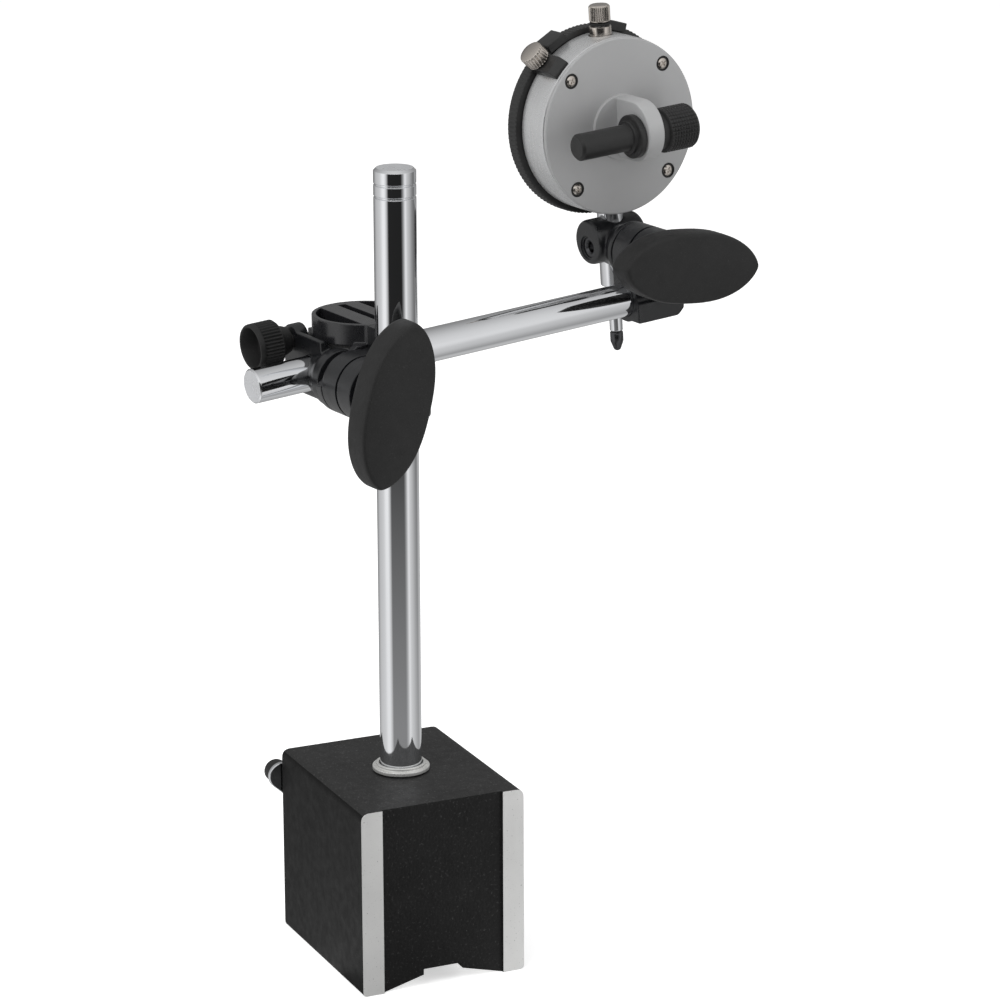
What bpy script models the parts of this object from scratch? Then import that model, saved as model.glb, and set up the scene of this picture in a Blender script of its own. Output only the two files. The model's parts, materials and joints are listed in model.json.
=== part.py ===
"""Dial indicator on a magnetic base, as separate solids in metres, +Z up.

The origin is the centre of the left pole's ground underside. X runs across the base, Y along it.
Two chains of empties carry the tilted pieces: the clamp frame on the post, the arm frame,
the end-clamp frame near the arm's free end and the dial frame on the stem's axis.
In each tilted frame X runs along the arm, Y away from the clamp wings and Z up the dial.
"""
import math

import bmesh
import bpy
from mathutils import Matrix

GAP = 0.0003            # clearance between pieces that touch
ROUND = 32              # sides of a large round
SMALL_ROUND = 16        # sides of a small round
WIDE_ROUND = 48         # sides of the dial's rounds

# magnetic base
BASE_W, BASE_L, BASE_H = 0.050, 0.060, 0.055
STRIP_W = 0.0065        # ground strips on the front face
RECESS = 0.0008         # depth of the black panel between them
BASE_MIDDLE = 0.02155    # from the middle of the left pole's underside to the base's middle
SPACER_T = 0.003
NOTCH_DEPTH = 0.0033
NOTCH_SLOT_W, NOTCH_SLOT_H = 0.012, 0.005
BORE_R, BORE_Z = 0.015, 0.0285
BORE_FRONT_WALL = 0.006
COVER_R, COVER_T = 0.0165, 0.003
SHAFT_R = 0.004
LEVER_LENGTH, LEVER_ANGLE = 0.0345, math.radians(144)
LEVER_TIP_R, LEVER_HUB_R = 0.004, 0.007
PLATE_T, GRIP_T = 0.0015, 0.005

# post
POST_R, POST_TOP = 0.006, 0.231
STUD_R, STUD_DEPTH = 0.004, 0.0085
WASHER_R, WASHER_T = 0.00825, 0.0012
WASHER_LIP_R, WASHER_LIP_T = 0.0072, 0.0009
POST_GROOVES = (0.0045, 0.0080)

# clamp frame on the post: X along the arm, Y to the rear
CLAMP_Z = 0.1696
ARM_AZIMUTH = math.radians(8.1)
ARM_TILT = math.radians(3.9)
BOLT_X = -0.0106
BOLT_R = 0.003
EAR_R = 0.0092
BLOCK_H = 0.0186
RING_R = 0.0095
SLIT = 0.001
EAR_FRONT, EAR_REAR = 0.0074, 0.0080

# wing knobs
WING_L, WING_W, WING_T = 0.0476, 0.0214, 0.0092
WING_BACK, END_WING_BACK = 0.0106, 0.0136   # from the bolt's clamp plane to the wing's back
WING_DROP = 0.0014      # the main wing's middle below its bolt
WING_LEAN, END_WING_LEAN = math.radians(15), math.radians(9)
WING_FULL, WING_POINTED = 0.80, 1.30    # exponents that draw the oval's ends to a point
WING_POINTS, WING_EDGE = 28, 0.0012
NECK_R, NECK_ROOT_R = 0.0058, 0.0073
BOLT_TIP = 0.0175
BOLT_WASHER_R, BOLT_WASHER_T = 0.0046, 0.0012

# fine adjustment
WEB_FRONT, WEB_T = 0.0083, 0.0026
TRAY_R, TRAY_X, TRAY_Y = 0.015, 0.003, 0.0225
TRAY_LOW, TRAY_TOP = 0.0090, 0.0154
TRAY_RIM, TRAY_FLOOR = 0.0012, 0.0016
BAR_X, BAR_W, BAR_GAP, BAR_2_W = -0.0045, 0.0056, 0.0027, 0.0045
SCREW_Y, SCREW_Z, SCREW_R, SCREW_TIP = 0.010, 0.0080, 0.0015, 0.0018
KNOB_R, KNOB_END, KNOB_START = 0.0067, -0.0166, -0.0086
KNOB_WALL, KNOB_FACE_T = 0.0014, 0.0022
COLLAR_ROOT_R, COLLAR_END_R, BOSS_FACE_R = 0.0048, 0.0036, 0.0042
STOP_W, STOP_FRONT, STOP_REAR, STOP_DROP = 0.0045, 0.0034, 0.0013, 0.0015

# arm and its head
ARM_R, ARM_LENGTH, ARM_LEFT, ARM_CHAMFER = 0.005, 0.1431, -0.0225, 0.0005
ARM_Y = 0.024           # arm axis behind the clamp plane
HEAD_LEFT, HEAD_RIGHT = -0.0036, 0.0100
HEAD_LOW, HEAD_TOP, HEAD_CREST = -0.0080, 0.0066, 0.0108
HEAD_FRONT, HEAD_REAR = -0.0128, 0.0145
EYE_R, EYE_T, EYE_WALL = 0.0071, 0.005, 0.0016

# end clamp, from the arm's axis at END_S along the arm
END_S = 0.1144
END_BLOCK_LEFT, END_BLOCK_RIGHT, END_BLOCK_R = -0.0102, 0.0064, 0.0070
END_BOLT_Z = 0.0118
END_EAR_R = 0.0088
STEM_Y = 0.0205
STEM_HEAD_R, STEM_HEAD_L, STEM_HEAD_RISE = 0.0067, 0.0176, 0.0014
STEM_SLEEVE_R, SIDE_HOLE_R = 0.0076, 0.0031
END_SHANK_R = 0.0023

# indicator, from the dial's centre on the spindle's axis
DIAL_Z = 0.0488
CASE_R, CASE_WALL, CASE_FLOOR_T = 0.0267, 0.0020, 0.0012
CASE_BACK, CASE_FRONT = -0.0068, 0.0046
COLLAR_R, COLLAR_WALL, COLLAR_FRONT = 0.0250, 0.0020, 0.0060
PLATE_BACK, PLATE_FRONT = -0.0080, -0.0071
PAD_R, PAD_T = 0.0097, 0.0009
SCREW_SPREAD, BOSS_R = 0.0163, 0.0023
PLATE_SCREW_R, PLATE_SCREW_HEAD_R, PLATE_SCREW_HEAD_T = 0.00085, 0.0016, 0.0008
PLATE_SCREW_L, SEAT_R, SEAT_DEPTH = 0.0042, 0.0022, 0.0004
STEM_R, STEM_TOP, STEM_END = 0.004, -0.0243, -0.0500
SPINDLE_R, SPINDLE_TOP, SPINDLE_END = 0.002, 0.0335, -0.0645
TIP_END, TIP_R, TIP_STRAIGHT = -0.0707, 0.0020, 0.0028
TUBE_R, TUBE_LOW, TUBE_TOP = 0.0033, 0.0250, 0.0292
CAP_R, CAP_LOW, CAP_TOP = 0.0032, 0.0305, 0.0356
BEZEL_R, BEZEL_BACK, BEZEL_FRONT = 0.0285, 0.0050, 0.0100
BEZEL_RIBS, BEZEL_BORE, NOSE_SET = 60, 0.0253, 0.0006
LENS_R, LENS_FRONT, LENS_EDGE, LENS_T = 0.0250, 0.0125, 0.0098, 0.0012
LUG_X0, LUG_X1, LUG_R = -0.0015, 0.0040, 0.0090
LUG_END_Y, ROD_Y, ROD_Z, ROD_R = -0.0165, -0.0183, -0.0009, 0.004
ROD_LEFT, ROD_SHANK_R, FLANGE_R, FLANGE_STEP_R = -0.0226, 0.0030, 0.0065, 0.0050
NUT_RIGHT, NUT_R, NUT_COLLAR_R, NUT_DOME_R = 0.0181, 0.0067, 0.0056, 0.0048
LOCK_ANGLE = math.radians(133)
LOCK_TOP, LOCK_HALF, LOCK_SCREW_Y, LOCK_HEAD_R, LOCK_HEAD_L = 0.0292, 0.003, 0.0030, 0.00375, 0.0045
LOCK_SHANK_R = 0.0010
CLIP_ANGLES = {"left": math.radians(116.5), "right": math.radians(72)}
CLIP_R, CLIP_HALF, CLIP_LEG = 0.0298, 0.0033, 0.0007
DIAL_BACK, DIAL_FRONT = 0.0063, 0.0068
DIAL_R, INNER_DIAL_R, MOVEMENT_R = 0.0246, 0.0115, 0.0097
WHEEL_R, WHEEL_TEETH, PINION_R, PINION_TEETH = 0.0070, 60, 0.0010, 6
RACK_FLAT, RACK_PINION_R, TEETH_GAP = 0.0012, 0.00145, 0.0001
ARBOR_R, WHEEL_Y, WHEEL_T = 0.0005, 0.00265, 0.0006
RACK_PITCH, RACK_TEETH, RACK_LOW, RACK_DEPTH = 0.000625, 24, -0.0045, 0.00035
MAIN_POINTER_Y, MAIN_POINTER_L, SMALL_POINTER_Y, SMALL_POINTER_L = 0.0078, 0.0215, 0.0072, 0.0034
HAIR_TURNS, HAIR_STEPS, HAIR_START_R, HAIR_PITCH, HAIR_WIRE_R = 4, 10, 0.0011, 0.0009, 0.0001
SPRING_X, SPRING_R, SPRING_TURNS, SPRING_STEPS, SPRING_WIRE_R = -0.0095, 0.0015, 9, 8, 0.0002
SPRING_LOW, GUIDE_PIN_Z, GUIDE_PIN_R = -0.0160, -0.0010, 0.0006

UPRIGHT = (0.0, 0.0, 0.0)
ALONG_X = (0.0, math.pi / 2, 0.0)
ALONG_Y = (-math.pi / 2, 0.0, 0.0)
FACING_FRONT = (math.pi / 2, 0.0, 0.0)   # lays an outline's (x, y) on (X, Z)

MATERIALS = {
    "black_paint": ((0.025, 0.025, 0.026), 0.65, 0.0),
    "ground_steel": ((0.55, 0.55, 0.54), 0.45, 1.0),
    "brass": ((0.65, 0.48, 0.22), 0.40, 1.0),
    "magnet": ((0.10, 0.10, 0.10), 0.60, 0.3),
    "chrome": ((0.80, 0.81, 0.83), 0.08, 1.0),
    "zinc": ((0.60, 0.60, 0.58), 0.35, 1.0),
    "matte_black": ((0.030, 0.030, 0.030), 0.55, 0.0),
    "cast_black": ((0.020, 0.021, 0.024), 0.35, 0.0),
    "satin_alloy": ((0.34, 0.34, 0.34), 0.40, 1.0),
    "case_silver": ((0.60, 0.60, 0.60), 0.30, 1.0),
    "nickel": ((0.58, 0.53, 0.48), 0.30, 1.0),
    "steel": ((0.45, 0.45, 0.46), 0.30, 1.0),
    "dial_white": ((0.85, 0.85, 0.82), 0.50, 0.0),
    "lens": ((0.90, 0.95, 0.95), 0.05, 0.0),
    "rubber": ((0.015, 0.015, 0.015), 0.80, 0.0),
}


def clear_scene():
    for obj in list(bpy.data.objects):
        bpy.data.objects.remove(obj, do_unlink=True)


def make_collection(name):
    made = bpy.data.collections.new(name)
    bpy.context.scene.collection.children.link(made)
    return made


def make_materials():
    made = {}
    for name, (colour, roughness, metallic) in MATERIALS.items():
        material = bpy.data.materials.new(name)
        material.use_nodes = True
        shader = material.node_tree.nodes["Principled BSDF"]
        shader.inputs["Base Color"].default_value = (*colour, 1.0)
        shader.inputs["Roughness"].default_value = roughness
        shader.inputs["Metallic"].default_value = metallic
        material.diffuse_color = (*colour, 1.0)
        made[name] = material
    return made


clear_scene()
PARTS = make_collection("dial_indicator_stand")
CUTTERS = make_collection("cutters")
LOOKS = make_materials()


# --- placing ------------------------------------------------------------------------------------

BASE_FRAME = bpy.data.objects.new("base_frame", None)     # centre of the base's underside
BASE_FRAME.location = (BASE_MIDDLE, 0, 0)
PARTS.objects.link(BASE_FRAME)


def make_frame(name, parent=None, place=(0, 0, 0), turn=UPRIGHT):
    """An empty that carries a group of pieces."""
    empty = bpy.data.objects.new(name, None)
    PARTS.objects.link(empty)
    empty.parent = parent or BASE_FRAME
    empty.location = place
    empty.rotation_euler = turn
    return empty


def put(name, mesh, look, frame, place=(0, 0, 0), turn=UPRIGHT):
    """A mesh as a finished piece; look None makes it a hidden cutter."""
    obj = bpy.data.objects.new(name, mesh)
    (PARTS if look else CUTTERS).objects.link(obj)
    obj.parent = frame or BASE_FRAME
    obj.location = place
    obj.rotation_euler = turn
    if look:
        mesh.materials.append(LOOKS[look])
    else:
        obj.hide_render = True
        obj.display_type = "WIRE"
    return obj


def boolean(obj, operation, other):
    modifier = obj.modifiers.new(operation.lower() + "_" + other.name, "BOOLEAN")
    modifier.operation = operation
    modifier.solver = "EXACT"
    modifier.object = other
    return obj


def cut(obj, *cutters):
    for cutter in cutters:
        boolean(obj, "DIFFERENCE", cutter)
    return obj


def join(obj, *others):
    for other in others:
        boolean(obj, "UNION", other)
    return obj


# --- shapes -------------------------------------------------------------------------------------

def mesh_from(bm, name):
    mesh = bpy.data.meshes.new(name)
    bm.to_mesh(mesh)
    bm.free()
    return mesh


def box_mesh(low, high):
    """A box between two corners."""
    bm = bmesh.new()
    size = [b - a for a, b in zip(low, high)]
    middle = [(a + b) / 2 for a, b in zip(low, high)]
    bmesh.ops.create_cube(bm, size=1.0, matrix=Matrix.LocRotScale(middle, None, size))
    return mesh_from(bm, "box")


def rod_mesh(radius, start, end, sides=ROUND, end_radius=None):
    """A round bar or cone on Z from start to end."""
    bm = bmesh.new()
    bmesh.ops.create_cone(
        bm, cap_ends=True, segments=sides, radius1=radius,
        radius2=radius if end_radius is None else end_radius, depth=end - start,
        matrix=Matrix.Translation((0, 0, (start + end) / 2)))
    return mesh_from(bm, "rod")


def box(name, look, frame, low, high, place=(0, 0, 0), turn=UPRIGHT):
    return put(name, box_mesh(low, high), look, frame, place, turn)


def rod(name, look, frame, radius, start, end, place=(0, 0, 0), turn=UPRIGHT, sides=ROUND,
        end_radius=None):
    return put(name, rod_mesh(radius, start, end, sides, end_radius), look, frame, place, turn)


def turned(name, look, frame, profile, place=(0, 0, 0), turn=UPRIGHT, sides=ROUND, ring=False):
    """A turned piece: (radius, height) points down its outer side, spun round Z."""
    mesh = bpy.data.meshes.new(name)
    last = len(profile) - 1
    edges = [(i, i + 1) for i in range(last)]
    if ring:
        edges.append((last, 0))
    mesh.from_pydata([(r, 0, z) for r, z in profile], edges, [])
    obj = put(name, mesh, look, frame, place, turn)
    screw = obj.modifiers.new("spin", "SCREW")
    screw.axis = "Z"
    screw.steps = screw.render_steps = sides
    screw.use_merge_vertices = True
    screw.merge_threshold = 0.00001
    return obj


def arc(cx, cy, radius, start, end, steps):
    """Points on an arc; the angles are in degrees."""
    turns = [math.radians(start + (end - start) * i / steps) for i in range(steps + 1)]
    return [(cx + radius * math.cos(t), cy + radius * math.sin(t)) for t in turns]


def curve_to_piece(name, curve, look, frame, place, turn):
    """A curve's evaluated shape as a welded mesh piece."""
    source = bpy.data.objects.new(name + "_curve", curve)
    CUTTERS.objects.link(source)
    bpy.context.view_layer.update()
    graph = bpy.context.evaluated_depsgraph_get()
    mesh = bpy.data.meshes.new_from_object(source.evaluated_get(graph))
    bpy.data.objects.remove(source, do_unlink=True)
    bm = bmesh.new()
    bm.from_mesh(mesh)
    bmesh.ops.remove_doubles(bm, verts=bm.verts, dist=0.000002)
    bmesh.ops.recalc_face_normals(bm, faces=bm.faces)
    bm.to_mesh(mesh)
    bm.free()
    mesh.materials.clear()
    return put(name, mesh, look, frame, place, turn)


def outline(name, look, frame, loops, thickness, place=(0, 0, 0), turn=UPRIGHT, edge=0.0,
            edge_steps=1):
    """A flat outline, with any holes as further loops, extruded evenly about its plane."""
    curve = bpy.data.curves.new(name, "CURVE")
    curve.dimensions = "2D"
    curve.fill_mode = "BOTH"
    curve.extrude = thickness / 2 - edge
    curve.bevel_depth = edge
    curve.bevel_resolution = edge_steps
    curve.offset = -edge
    for loop in loops:
        spline = curve.splines.new("POLY")
        spline.points.add(len(loop) - 1)
        for point, (x, y) in zip(spline.points, loop):
            point.co = (x, y, 0, 1)
        spline.use_cyclic_u = True
    return curve_to_piece(name, curve, look, frame, place, turn)


def wire(name, look, frame, points, radius, place=(0, 0, 0), turn=UPRIGHT):
    """A bent wire with capped ends."""
    curve = bpy.data.curves.new(name, "CURVE")
    curve.dimensions = "3D"
    curve.bevel_depth = radius
    curve.bevel_resolution = 0
    curve.use_fill_caps = True
    spline = curve.splines.new("POLY")
    spline.points.add(len(points) - 1)
    for point, co in zip(spline.points, points):
        point.co = (*co, 1)
    return curve_to_piece(name, curve, look, frame, place, turn)


def ribbed(radius, depth, count):
    """A round outline with V-shaped ribs."""
    points = []
    for i in range(2 * count):
        r = radius if i % 2 else radius - depth
        angle = math.pi * i / count
        points.append((r * math.cos(angle), r * math.sin(angle)))
    return points


# --- magnetic base ------------------------------------------------------------------------------

def pole_section(side):
    """Half of the base's end-on outline in (x, z), with its half of the V and relief slot."""
    inner = SPACER_T / 2 + GAP
    outer = BASE_W / 2
    flat = outer - STRIP_W
    slot = NOTCH_SLOT_W / 2
    top_r, low_r = 0.0025, 0.0015
    points = [(inner, BASE_H), *arc(outer - top_r, BASE_H - top_r, top_r, 90, 0, 5)]
    points += arc(outer - low_r, low_r, low_r, 0, -90, 3)
    points += [(flat, 0), (slot, NOTCH_DEPTH), (slot, NOTCH_SLOT_H), (inner, NOTCH_SLOT_H)]
    return [(side * x, z) for x, z in points]


def base_cutters():
    """The magnet bore with its cover seat, the stud hole and the front recess."""
    bore_start = -BASE_L / 2 + BORE_FRONT_WALL
    bore = rod("cut_bore", None, None, BORE_R, bore_start, BASE_L, (0, 0, BORE_Z), ALONG_Y)
    seat = rod("cut_cover_seat", None, None, COVER_R + GAP, BASE_L / 2 - COVER_T - GAP,
               BASE_L, (0, 0, BORE_Z), ALONG_Y)
    stud = rod("cut_stud", None, None, STUD_R + GAP, BASE_H - STUD_DEPTH - GAP, BASE_H + 0.01,
               sides=SMALL_ROUND)
    panel = BASE_W / 2 - STRIP_W
    recess = box("cut_recess", None, None, (-panel, -BASE_L, -0.01),
                 (panel, -BASE_L / 2 + RECESS, BASE_H + 0.01))
    return bore, seat, stud, recess


def build_base():
    cutters = base_cutters()
    for name, side in (("base_left_pole", -1), ("base_right_pole", 1)):
        pole = outline(name, "black_paint", None, [pole_section(side)], BASE_L,
                       turn=FACING_FRONT)
        cut(pole, *cutters)
    spacer = box("base_spacer", "brass", None, (-SPACER_T / 2, -BASE_L / 2, NOTCH_SLOT_H),
                 (SPACER_T / 2, BASE_L / 2, BASE_H))
    cut(spacer, *cutters)
    turned("post_washer", "zinc", None, [
        (WASHER_LIP_R, WASHER_T + WASHER_LIP_T), (WASHER_LIP_R, WASHER_T),
        (WASHER_R, WASHER_T), (WASHER_R, 0), (POST_R + GAP, 0),
        (POST_R + GAP, WASHER_T + WASHER_LIP_T)], (0, 0, BASE_H + GAP), ring=True)


def build_switch():
    magnet_end = BASE_L / 2 - COVER_T - 2 * GAP
    pivot = make_frame("switch_axis", None, (0, 0, BORE_Z))
    magnet = rod("magnet_rotor", "magnet", pivot, BORE_R - GAP,
                 -BASE_L / 2 + BORE_FRONT_WALL + GAP, magnet_end - GAP, turn=ALONG_Y)
    socket_floor = magnet_end - 0.010
    cut(magnet, rod("cut_magnet_socket", None, pivot, SHAFT_R + GAP, socket_floor - GAP,
                    BASE_L, turn=ALONG_Y, sides=SMALL_ROUND))
    cover = rod("rear_cover", "zinc", None, COVER_R, BASE_L / 2 - COVER_T, BASE_L / 2,
                (0, 0, BORE_Z), ALONG_Y)
    cut(cover, rod("cut_cover_hole", None, None, SHAFT_R + GAP, 0, BASE_L, (0, 0, BORE_Z),
                   ALONG_Y, sides=SMALL_ROUND))
    plate_back = BASE_L / 2 + 0.0008
    shaft_end = plate_back + PLATE_T + GRIP_T
    rod("switch_shaft", "steel", pivot, SHAFT_R, socket_floor, shaft_end - 0.0015,
        turn=ALONG_Y, sides=SMALL_ROUND)
    lever_loops = [lever_outline(0.0), arc(0, 0, SHAFT_R + GAP, 0, 345, 23)]
    outline("switch_lever_plate", "chrome", pivot, lever_loops, PLATE_T,
            (0, plate_back + PLATE_T / 2, 0), FACING_FRONT)
    grip = outline("switch_lever_grip", "matte_black", pivot, [lever_outline(0.0006)], GRIP_T,
                   (0, plate_back + PLATE_T + GAP + GRIP_T / 2, 0), FACING_FRONT, 0.0008)
    cut(grip, rod("cut_grip_socket", None, pivot, SHAFT_R + GAP, 0,
                  shaft_end - 0.0015 + GAP, turn=ALONG_Y, sides=SMALL_ROUND))


def lever_outline(inset):
    """A teardrop from the hub to the lever's tip, in (x, z) about the switch axis."""
    hub, tip = LEVER_HUB_R - inset, LEVER_TIP_R - inset
    reach = LEVER_LENGTH - LEVER_TIP_R
    lean = math.degrees(math.acos((LEVER_HUB_R - LEVER_TIP_R) / reach))
    aim = math.degrees(LEVER_ANGLE)
    tx, tz = reach * math.cos(LEVER_ANGLE), reach * math.sin(LEVER_ANGLE)
    return [*arc(tx, tz, tip, aim - lean, aim + lean, 8),
            *arc(0, 0, hub, aim + lean, aim + 360 - lean, 14)]


def build_post():
    cut_depth = 0.0003
    groove = 0.0005
    profile = [(0, POST_TOP), (POST_R - 0.0008, POST_TOP), (POST_R, POST_TOP - 0.0008)]
    for down in POST_GROOVES:
        z = POST_TOP - down
        profile += [(POST_R, z + groove / 2), (POST_R - cut_depth, z + groove / 4),
                    (POST_R - cut_depth, z - groove / 4), (POST_R, z - groove / 2)]
    foot = BASE_H + 2 * GAP
    profile += [(POST_R, foot), (STUD_R, foot), (STUD_R, BASE_H - STUD_DEPTH),
                (0, BASE_H - STUD_DEPTH)]
    turned("post", "chrome", None, profile)


# --- clamps -------------------------------------------------------------------------------------

def wing_outline():
    """A leaf-shaped oval, a little pointed at its ends."""
    points = []
    for i in range(WING_POINTS):
        t = 2 * math.pi * i / WING_POINTS
        c, s = math.cos(t), math.sin(t)
        points.append((WING_L / 2 * math.copysign(abs(c) ** WING_FULL, c),
                       WING_W / 2 * math.copysign(abs(s) ** WING_POINTED, s)))
    return points


def build_wing(name, frame, place, lean, back, drop=0.0):
    """A wing knob whose neck runs back to the clamp, turning on the bolt."""
    pivot = make_frame(name + "_axis", frame, place, (0, lean, 0))
    wing = outline(name, "matte_black", pivot, [wing_outline()], WING_T,
                   (-drop, -back - WING_T / 2, 0), FACING_FRONT, WING_EDGE)
    neck_start = -EAR_FRONT - BOLT_WASHER_T - 2 * GAP
    neck = rod(name + "_neck", None, pivot, NECK_ROOT_R, -back - WING_T / 3, neck_start,
               turn=ALONG_Y, sides=SMALL_ROUND, end_radius=NECK_R)
    thread = rod(name + "_thread", None, pivot, BOLT_R + GAP, -BOLT_TIP - GAP, 0.01,
                 turn=ALONG_Y, sides=SMALL_ROUND)
    cut(join(wing, neck), thread)
    return wing


def bolt_washer(name, frame, place):
    turned(name, "zinc", frame, [
        (BOLT_WASHER_R, BOLT_WASHER_T), (BOLT_WASHER_R, 0), (BOLT_R + GAP, 0),
        (BOLT_R + GAP, BOLT_WASHER_T)],
        (place[0], place[1] - EAR_FRONT - GAP, place[2]), FACING_FRONT, SMALL_ROUND, True)


def eye_bolt(name, frame, place, bar_r, turn, length):
    """A bolt along Y whose eye, at its rear end, goes round a bar."""
    rim = max(EYE_R, bar_r + GAP + EYE_WALL)
    eye = rod(name, "steel", frame, rim, -EYE_T / 2, EYE_T / 2, place, turn, 32)
    shank = rod(name + "_shank", None, frame, BOLT_R, -length, -bar_r - 0.0006, place,
                ALONG_Y, sides=SMALL_ROUND)
    hole = rod(name + "_hole", None, frame, bar_r + GAP, -0.01, 0.01, place, turn, 32)
    return cut(join(eye, shank), hole)


def build_post_clamp(frame):
    ring = rod("post_clamp_block", "cast_black", frame, RING_R, -BLOCK_H / 2, BLOCK_H / 2)
    half = EAR_R
    ear_loop = [*arc(BOLT_X, 0, EAR_R, 90, 270, 16), (-0.004, -half), (-0.004, half)]
    depth = EAR_FRONT + EAR_REAR
    ears = outline("ear_blank", None, frame, [ear_loop], depth,
                   (0, (EAR_REAR - EAR_FRONT) / 2, 0), FACING_FRONT)
    bore = rod("cut_post", None, frame, POST_R + GAP, -0.03, 0.03)
    slit = box("cut_slit", None, frame, (-0.04, -SLIT / 2, -0.03), (0, SLIT / 2, 0.03))
    hole = rod("cut_bolt", None, frame, BOLT_R + GAP, -0.03, 0.03, (BOLT_X, 0, 0), ALONG_Y,
               sides=SMALL_ROUND)
    rib = box("rib_blank", None, frame, (BAR_X, 0.002, 0.001),
              (BAR_X + BAR_W, EAR_REAR + 0.001, TRAY_TOP))
    flat = box("cut_rear_flat", None, frame, (-0.03, EAR_REAR, -0.03), (0.03, 0.03, 0.03))
    cut(join(ring, ears, rib), bore, slit, hole, flat)
    bolt_washer("main_bolt_washer", frame, (BOLT_X, 0, 0))


def chord_angle(radius, offset):
    """The angle from the axis at which a circle crosses a line this far from its centre."""
    return math.degrees(math.acos(offset / radius))


def build_carrier(frame):
    """The fine-adjust carrier: a pocketed round tray on a web that pivots on the bolt."""
    web_loop = [*arc(BOLT_X, 0, EAR_R, 180, 360, 14), (BOLT_X + EAR_R, TRAY_LOW + 0.001),
                (BOLT_X + 0.0030, TRAY_LOW + 0.001)]
    carrier = outline("fine_adjust_carrier", "cast_black", frame, [web_loop], WEB_T,
                      (0, WEB_FRONT + WEB_T / 2, 0), FACING_FRONT)
    right = BAR_X + BAR_W + BAR_GAP + BAR_2_W
    front = WEB_FRONT + 0.0001
    left_turn = chord_angle(TRAY_R, TRAY_X - BAR_X)
    right_turn = chord_angle(TRAY_R, right - TRAY_X)
    drum_loop = [*arc(TRAY_X, TRAY_Y, TRAY_R, -right_turn, 180 + left_turn, 34),
                 (BAR_X, front), (right, front)]
    drum = outline("tray_blank", None, frame, [drum_loop], TRAY_TOP - TRAY_LOW,
                   (0, 0, (TRAY_TOP + TRAY_LOW) / 2))
    lug_y = ARM_Y + SCREW_Y
    lug_left = BOLT_X + SCREW_TIP + 2 * GAP
    lug = box("stop_blank", None, frame, (lug_left, lug_y - STOP_FRONT, TRAY_LOW - STOP_DROP),
              (lug_left + STOP_W, lug_y + STOP_REAR, TRAY_LOW + 0.001))
    inner_r = TRAY_R - TRAY_RIM
    floor = TRAY_LOW + TRAY_FLOOR
    left_turn = chord_angle(inner_r, TRAY_X - BAR_X)
    right_turn = chord_angle(inner_r, right - TRAY_X)
    pockets = [arc(TRAY_X, TRAY_Y, inner_r, 180 - left_turn, 180 + left_turn, 18),
               arc(TRAY_X, TRAY_Y, inner_r, -right_turn, right_turn, 18)]
    cutters = [outline(f"cut_pocket_{i}", None, frame, [loop], 0.02, (0, 0, floor + 0.01))
               for i, loop in enumerate(pockets)]
    slit_x = BAR_X + BAR_W
    cutters.append(box("cut_flexure", None, frame, (slit_x, 0, floor),
                       (slit_x + BAR_GAP, TRAY_Y + TRAY_R - 0.003, TRAY_TOP + 0.01)))
    cutters.append(rod("cut_carrier_bolt", None, frame, BOLT_R + GAP, 0, 0.03,
                       (BOLT_X, 0, 0), ALONG_Y, sides=SMALL_ROUND))
    cut(join(carrier, drum, lug), *cutters)


def build_main_clamp(frame):
    build_post_clamp(frame)
    build_carrier(frame)
    build_wing("main_wing_knob", frame, (BOLT_X, 0, 0), WING_LEAN - math.pi / 2, WING_BACK,
               WING_DROP)


# --- arm and its head, in the arm frame (origin where the arm crosses the bolt) ---------------------

def head_outline():
    """The arm head's outline in (x, z): a block whose left side rises to hold the fine screw."""
    r = 0.003
    return [*arc(HEAD_LEFT + r, HEAD_LOW + r, r, 180, 270, 4),
            *arc(HEAD_RIGHT - r, HEAD_LOW + r, r, 270, 360, 4),
            *arc(HEAD_RIGHT - r, HEAD_TOP - r, r, 0, 90, 4),
            (HEAD_LEFT + 0.0045, HEAD_TOP), (HEAD_LEFT + 0.0015, HEAD_TOP + 0.0014),
            (HEAD_LEFT + 0.0015, HEAD_CREST - 0.0004), (HEAD_LEFT + 0.0011, HEAD_CREST),
            (HEAD_LEFT + 0.0006, HEAD_CREST), (HEAD_LEFT, HEAD_CREST - 0.0006)]


def build_head(frame):
    length = HEAD_REAR - HEAD_FRONT
    head = outline("arm_head", "cast_black", frame, [head_outline()], length,
                   (0, (HEAD_REAR + HEAD_FRONT) / 2, 0), FACING_FRONT)
    boss = rod("boss_blank", None, frame, BOSS_FACE_R, HEAD_LEFT + 0.0001, 0.0005,
               (0, SCREW_Y, SCREW_Z), ALONG_X, sides=SMALL_ROUND)
    arm_hole = rod("cut_arm", None, frame, ARM_R + GAP, -0.05, 0.05, turn=ALONG_X)
    eye_slot = box("cut_eye_slot", None, frame, (-EYE_T / 2 - GAP, -0.008, -EYE_R - GAP),
                   (EYE_T / 2 + GAP, 0.008, EYE_R + GAP))
    shank = rod("cut_shank", None, frame, BOLT_R + GAP, -0.03, 0, turn=ALONG_Y,
                sides=SMALL_ROUND)
    slot_in = box("cut_eye_way", None, frame, (-EYE_T / 2 - GAP, 0, -EYE_R - GAP),
                  (EYE_T / 2 + GAP, 0.05, EYE_R + GAP))
    screw_hole = rod("cut_fine_screw", None, frame, SCREW_R + GAP, -0.03, 0.03,
                     (0, SCREW_Y, SCREW_Z), ALONG_X, sides=16)
    cut(join(head, boss), arm_hole, eye_slot, slot_in, shank, screw_hole)
    eye_bolt("main_draw_bolt", frame, (0, 0, 0), ARM_R, ALONG_X, ARM_Y + BOLT_TIP)
    plug_top = SCREW_Z - SCREW_R - 2 * GAP
    box("arm_head_plug", "cast_black", frame, (-EYE_T / 2, EYE_R + 0.0018, -EYE_R),
        (EYE_T / 2, HEAD_REAR, plug_top))


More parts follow.
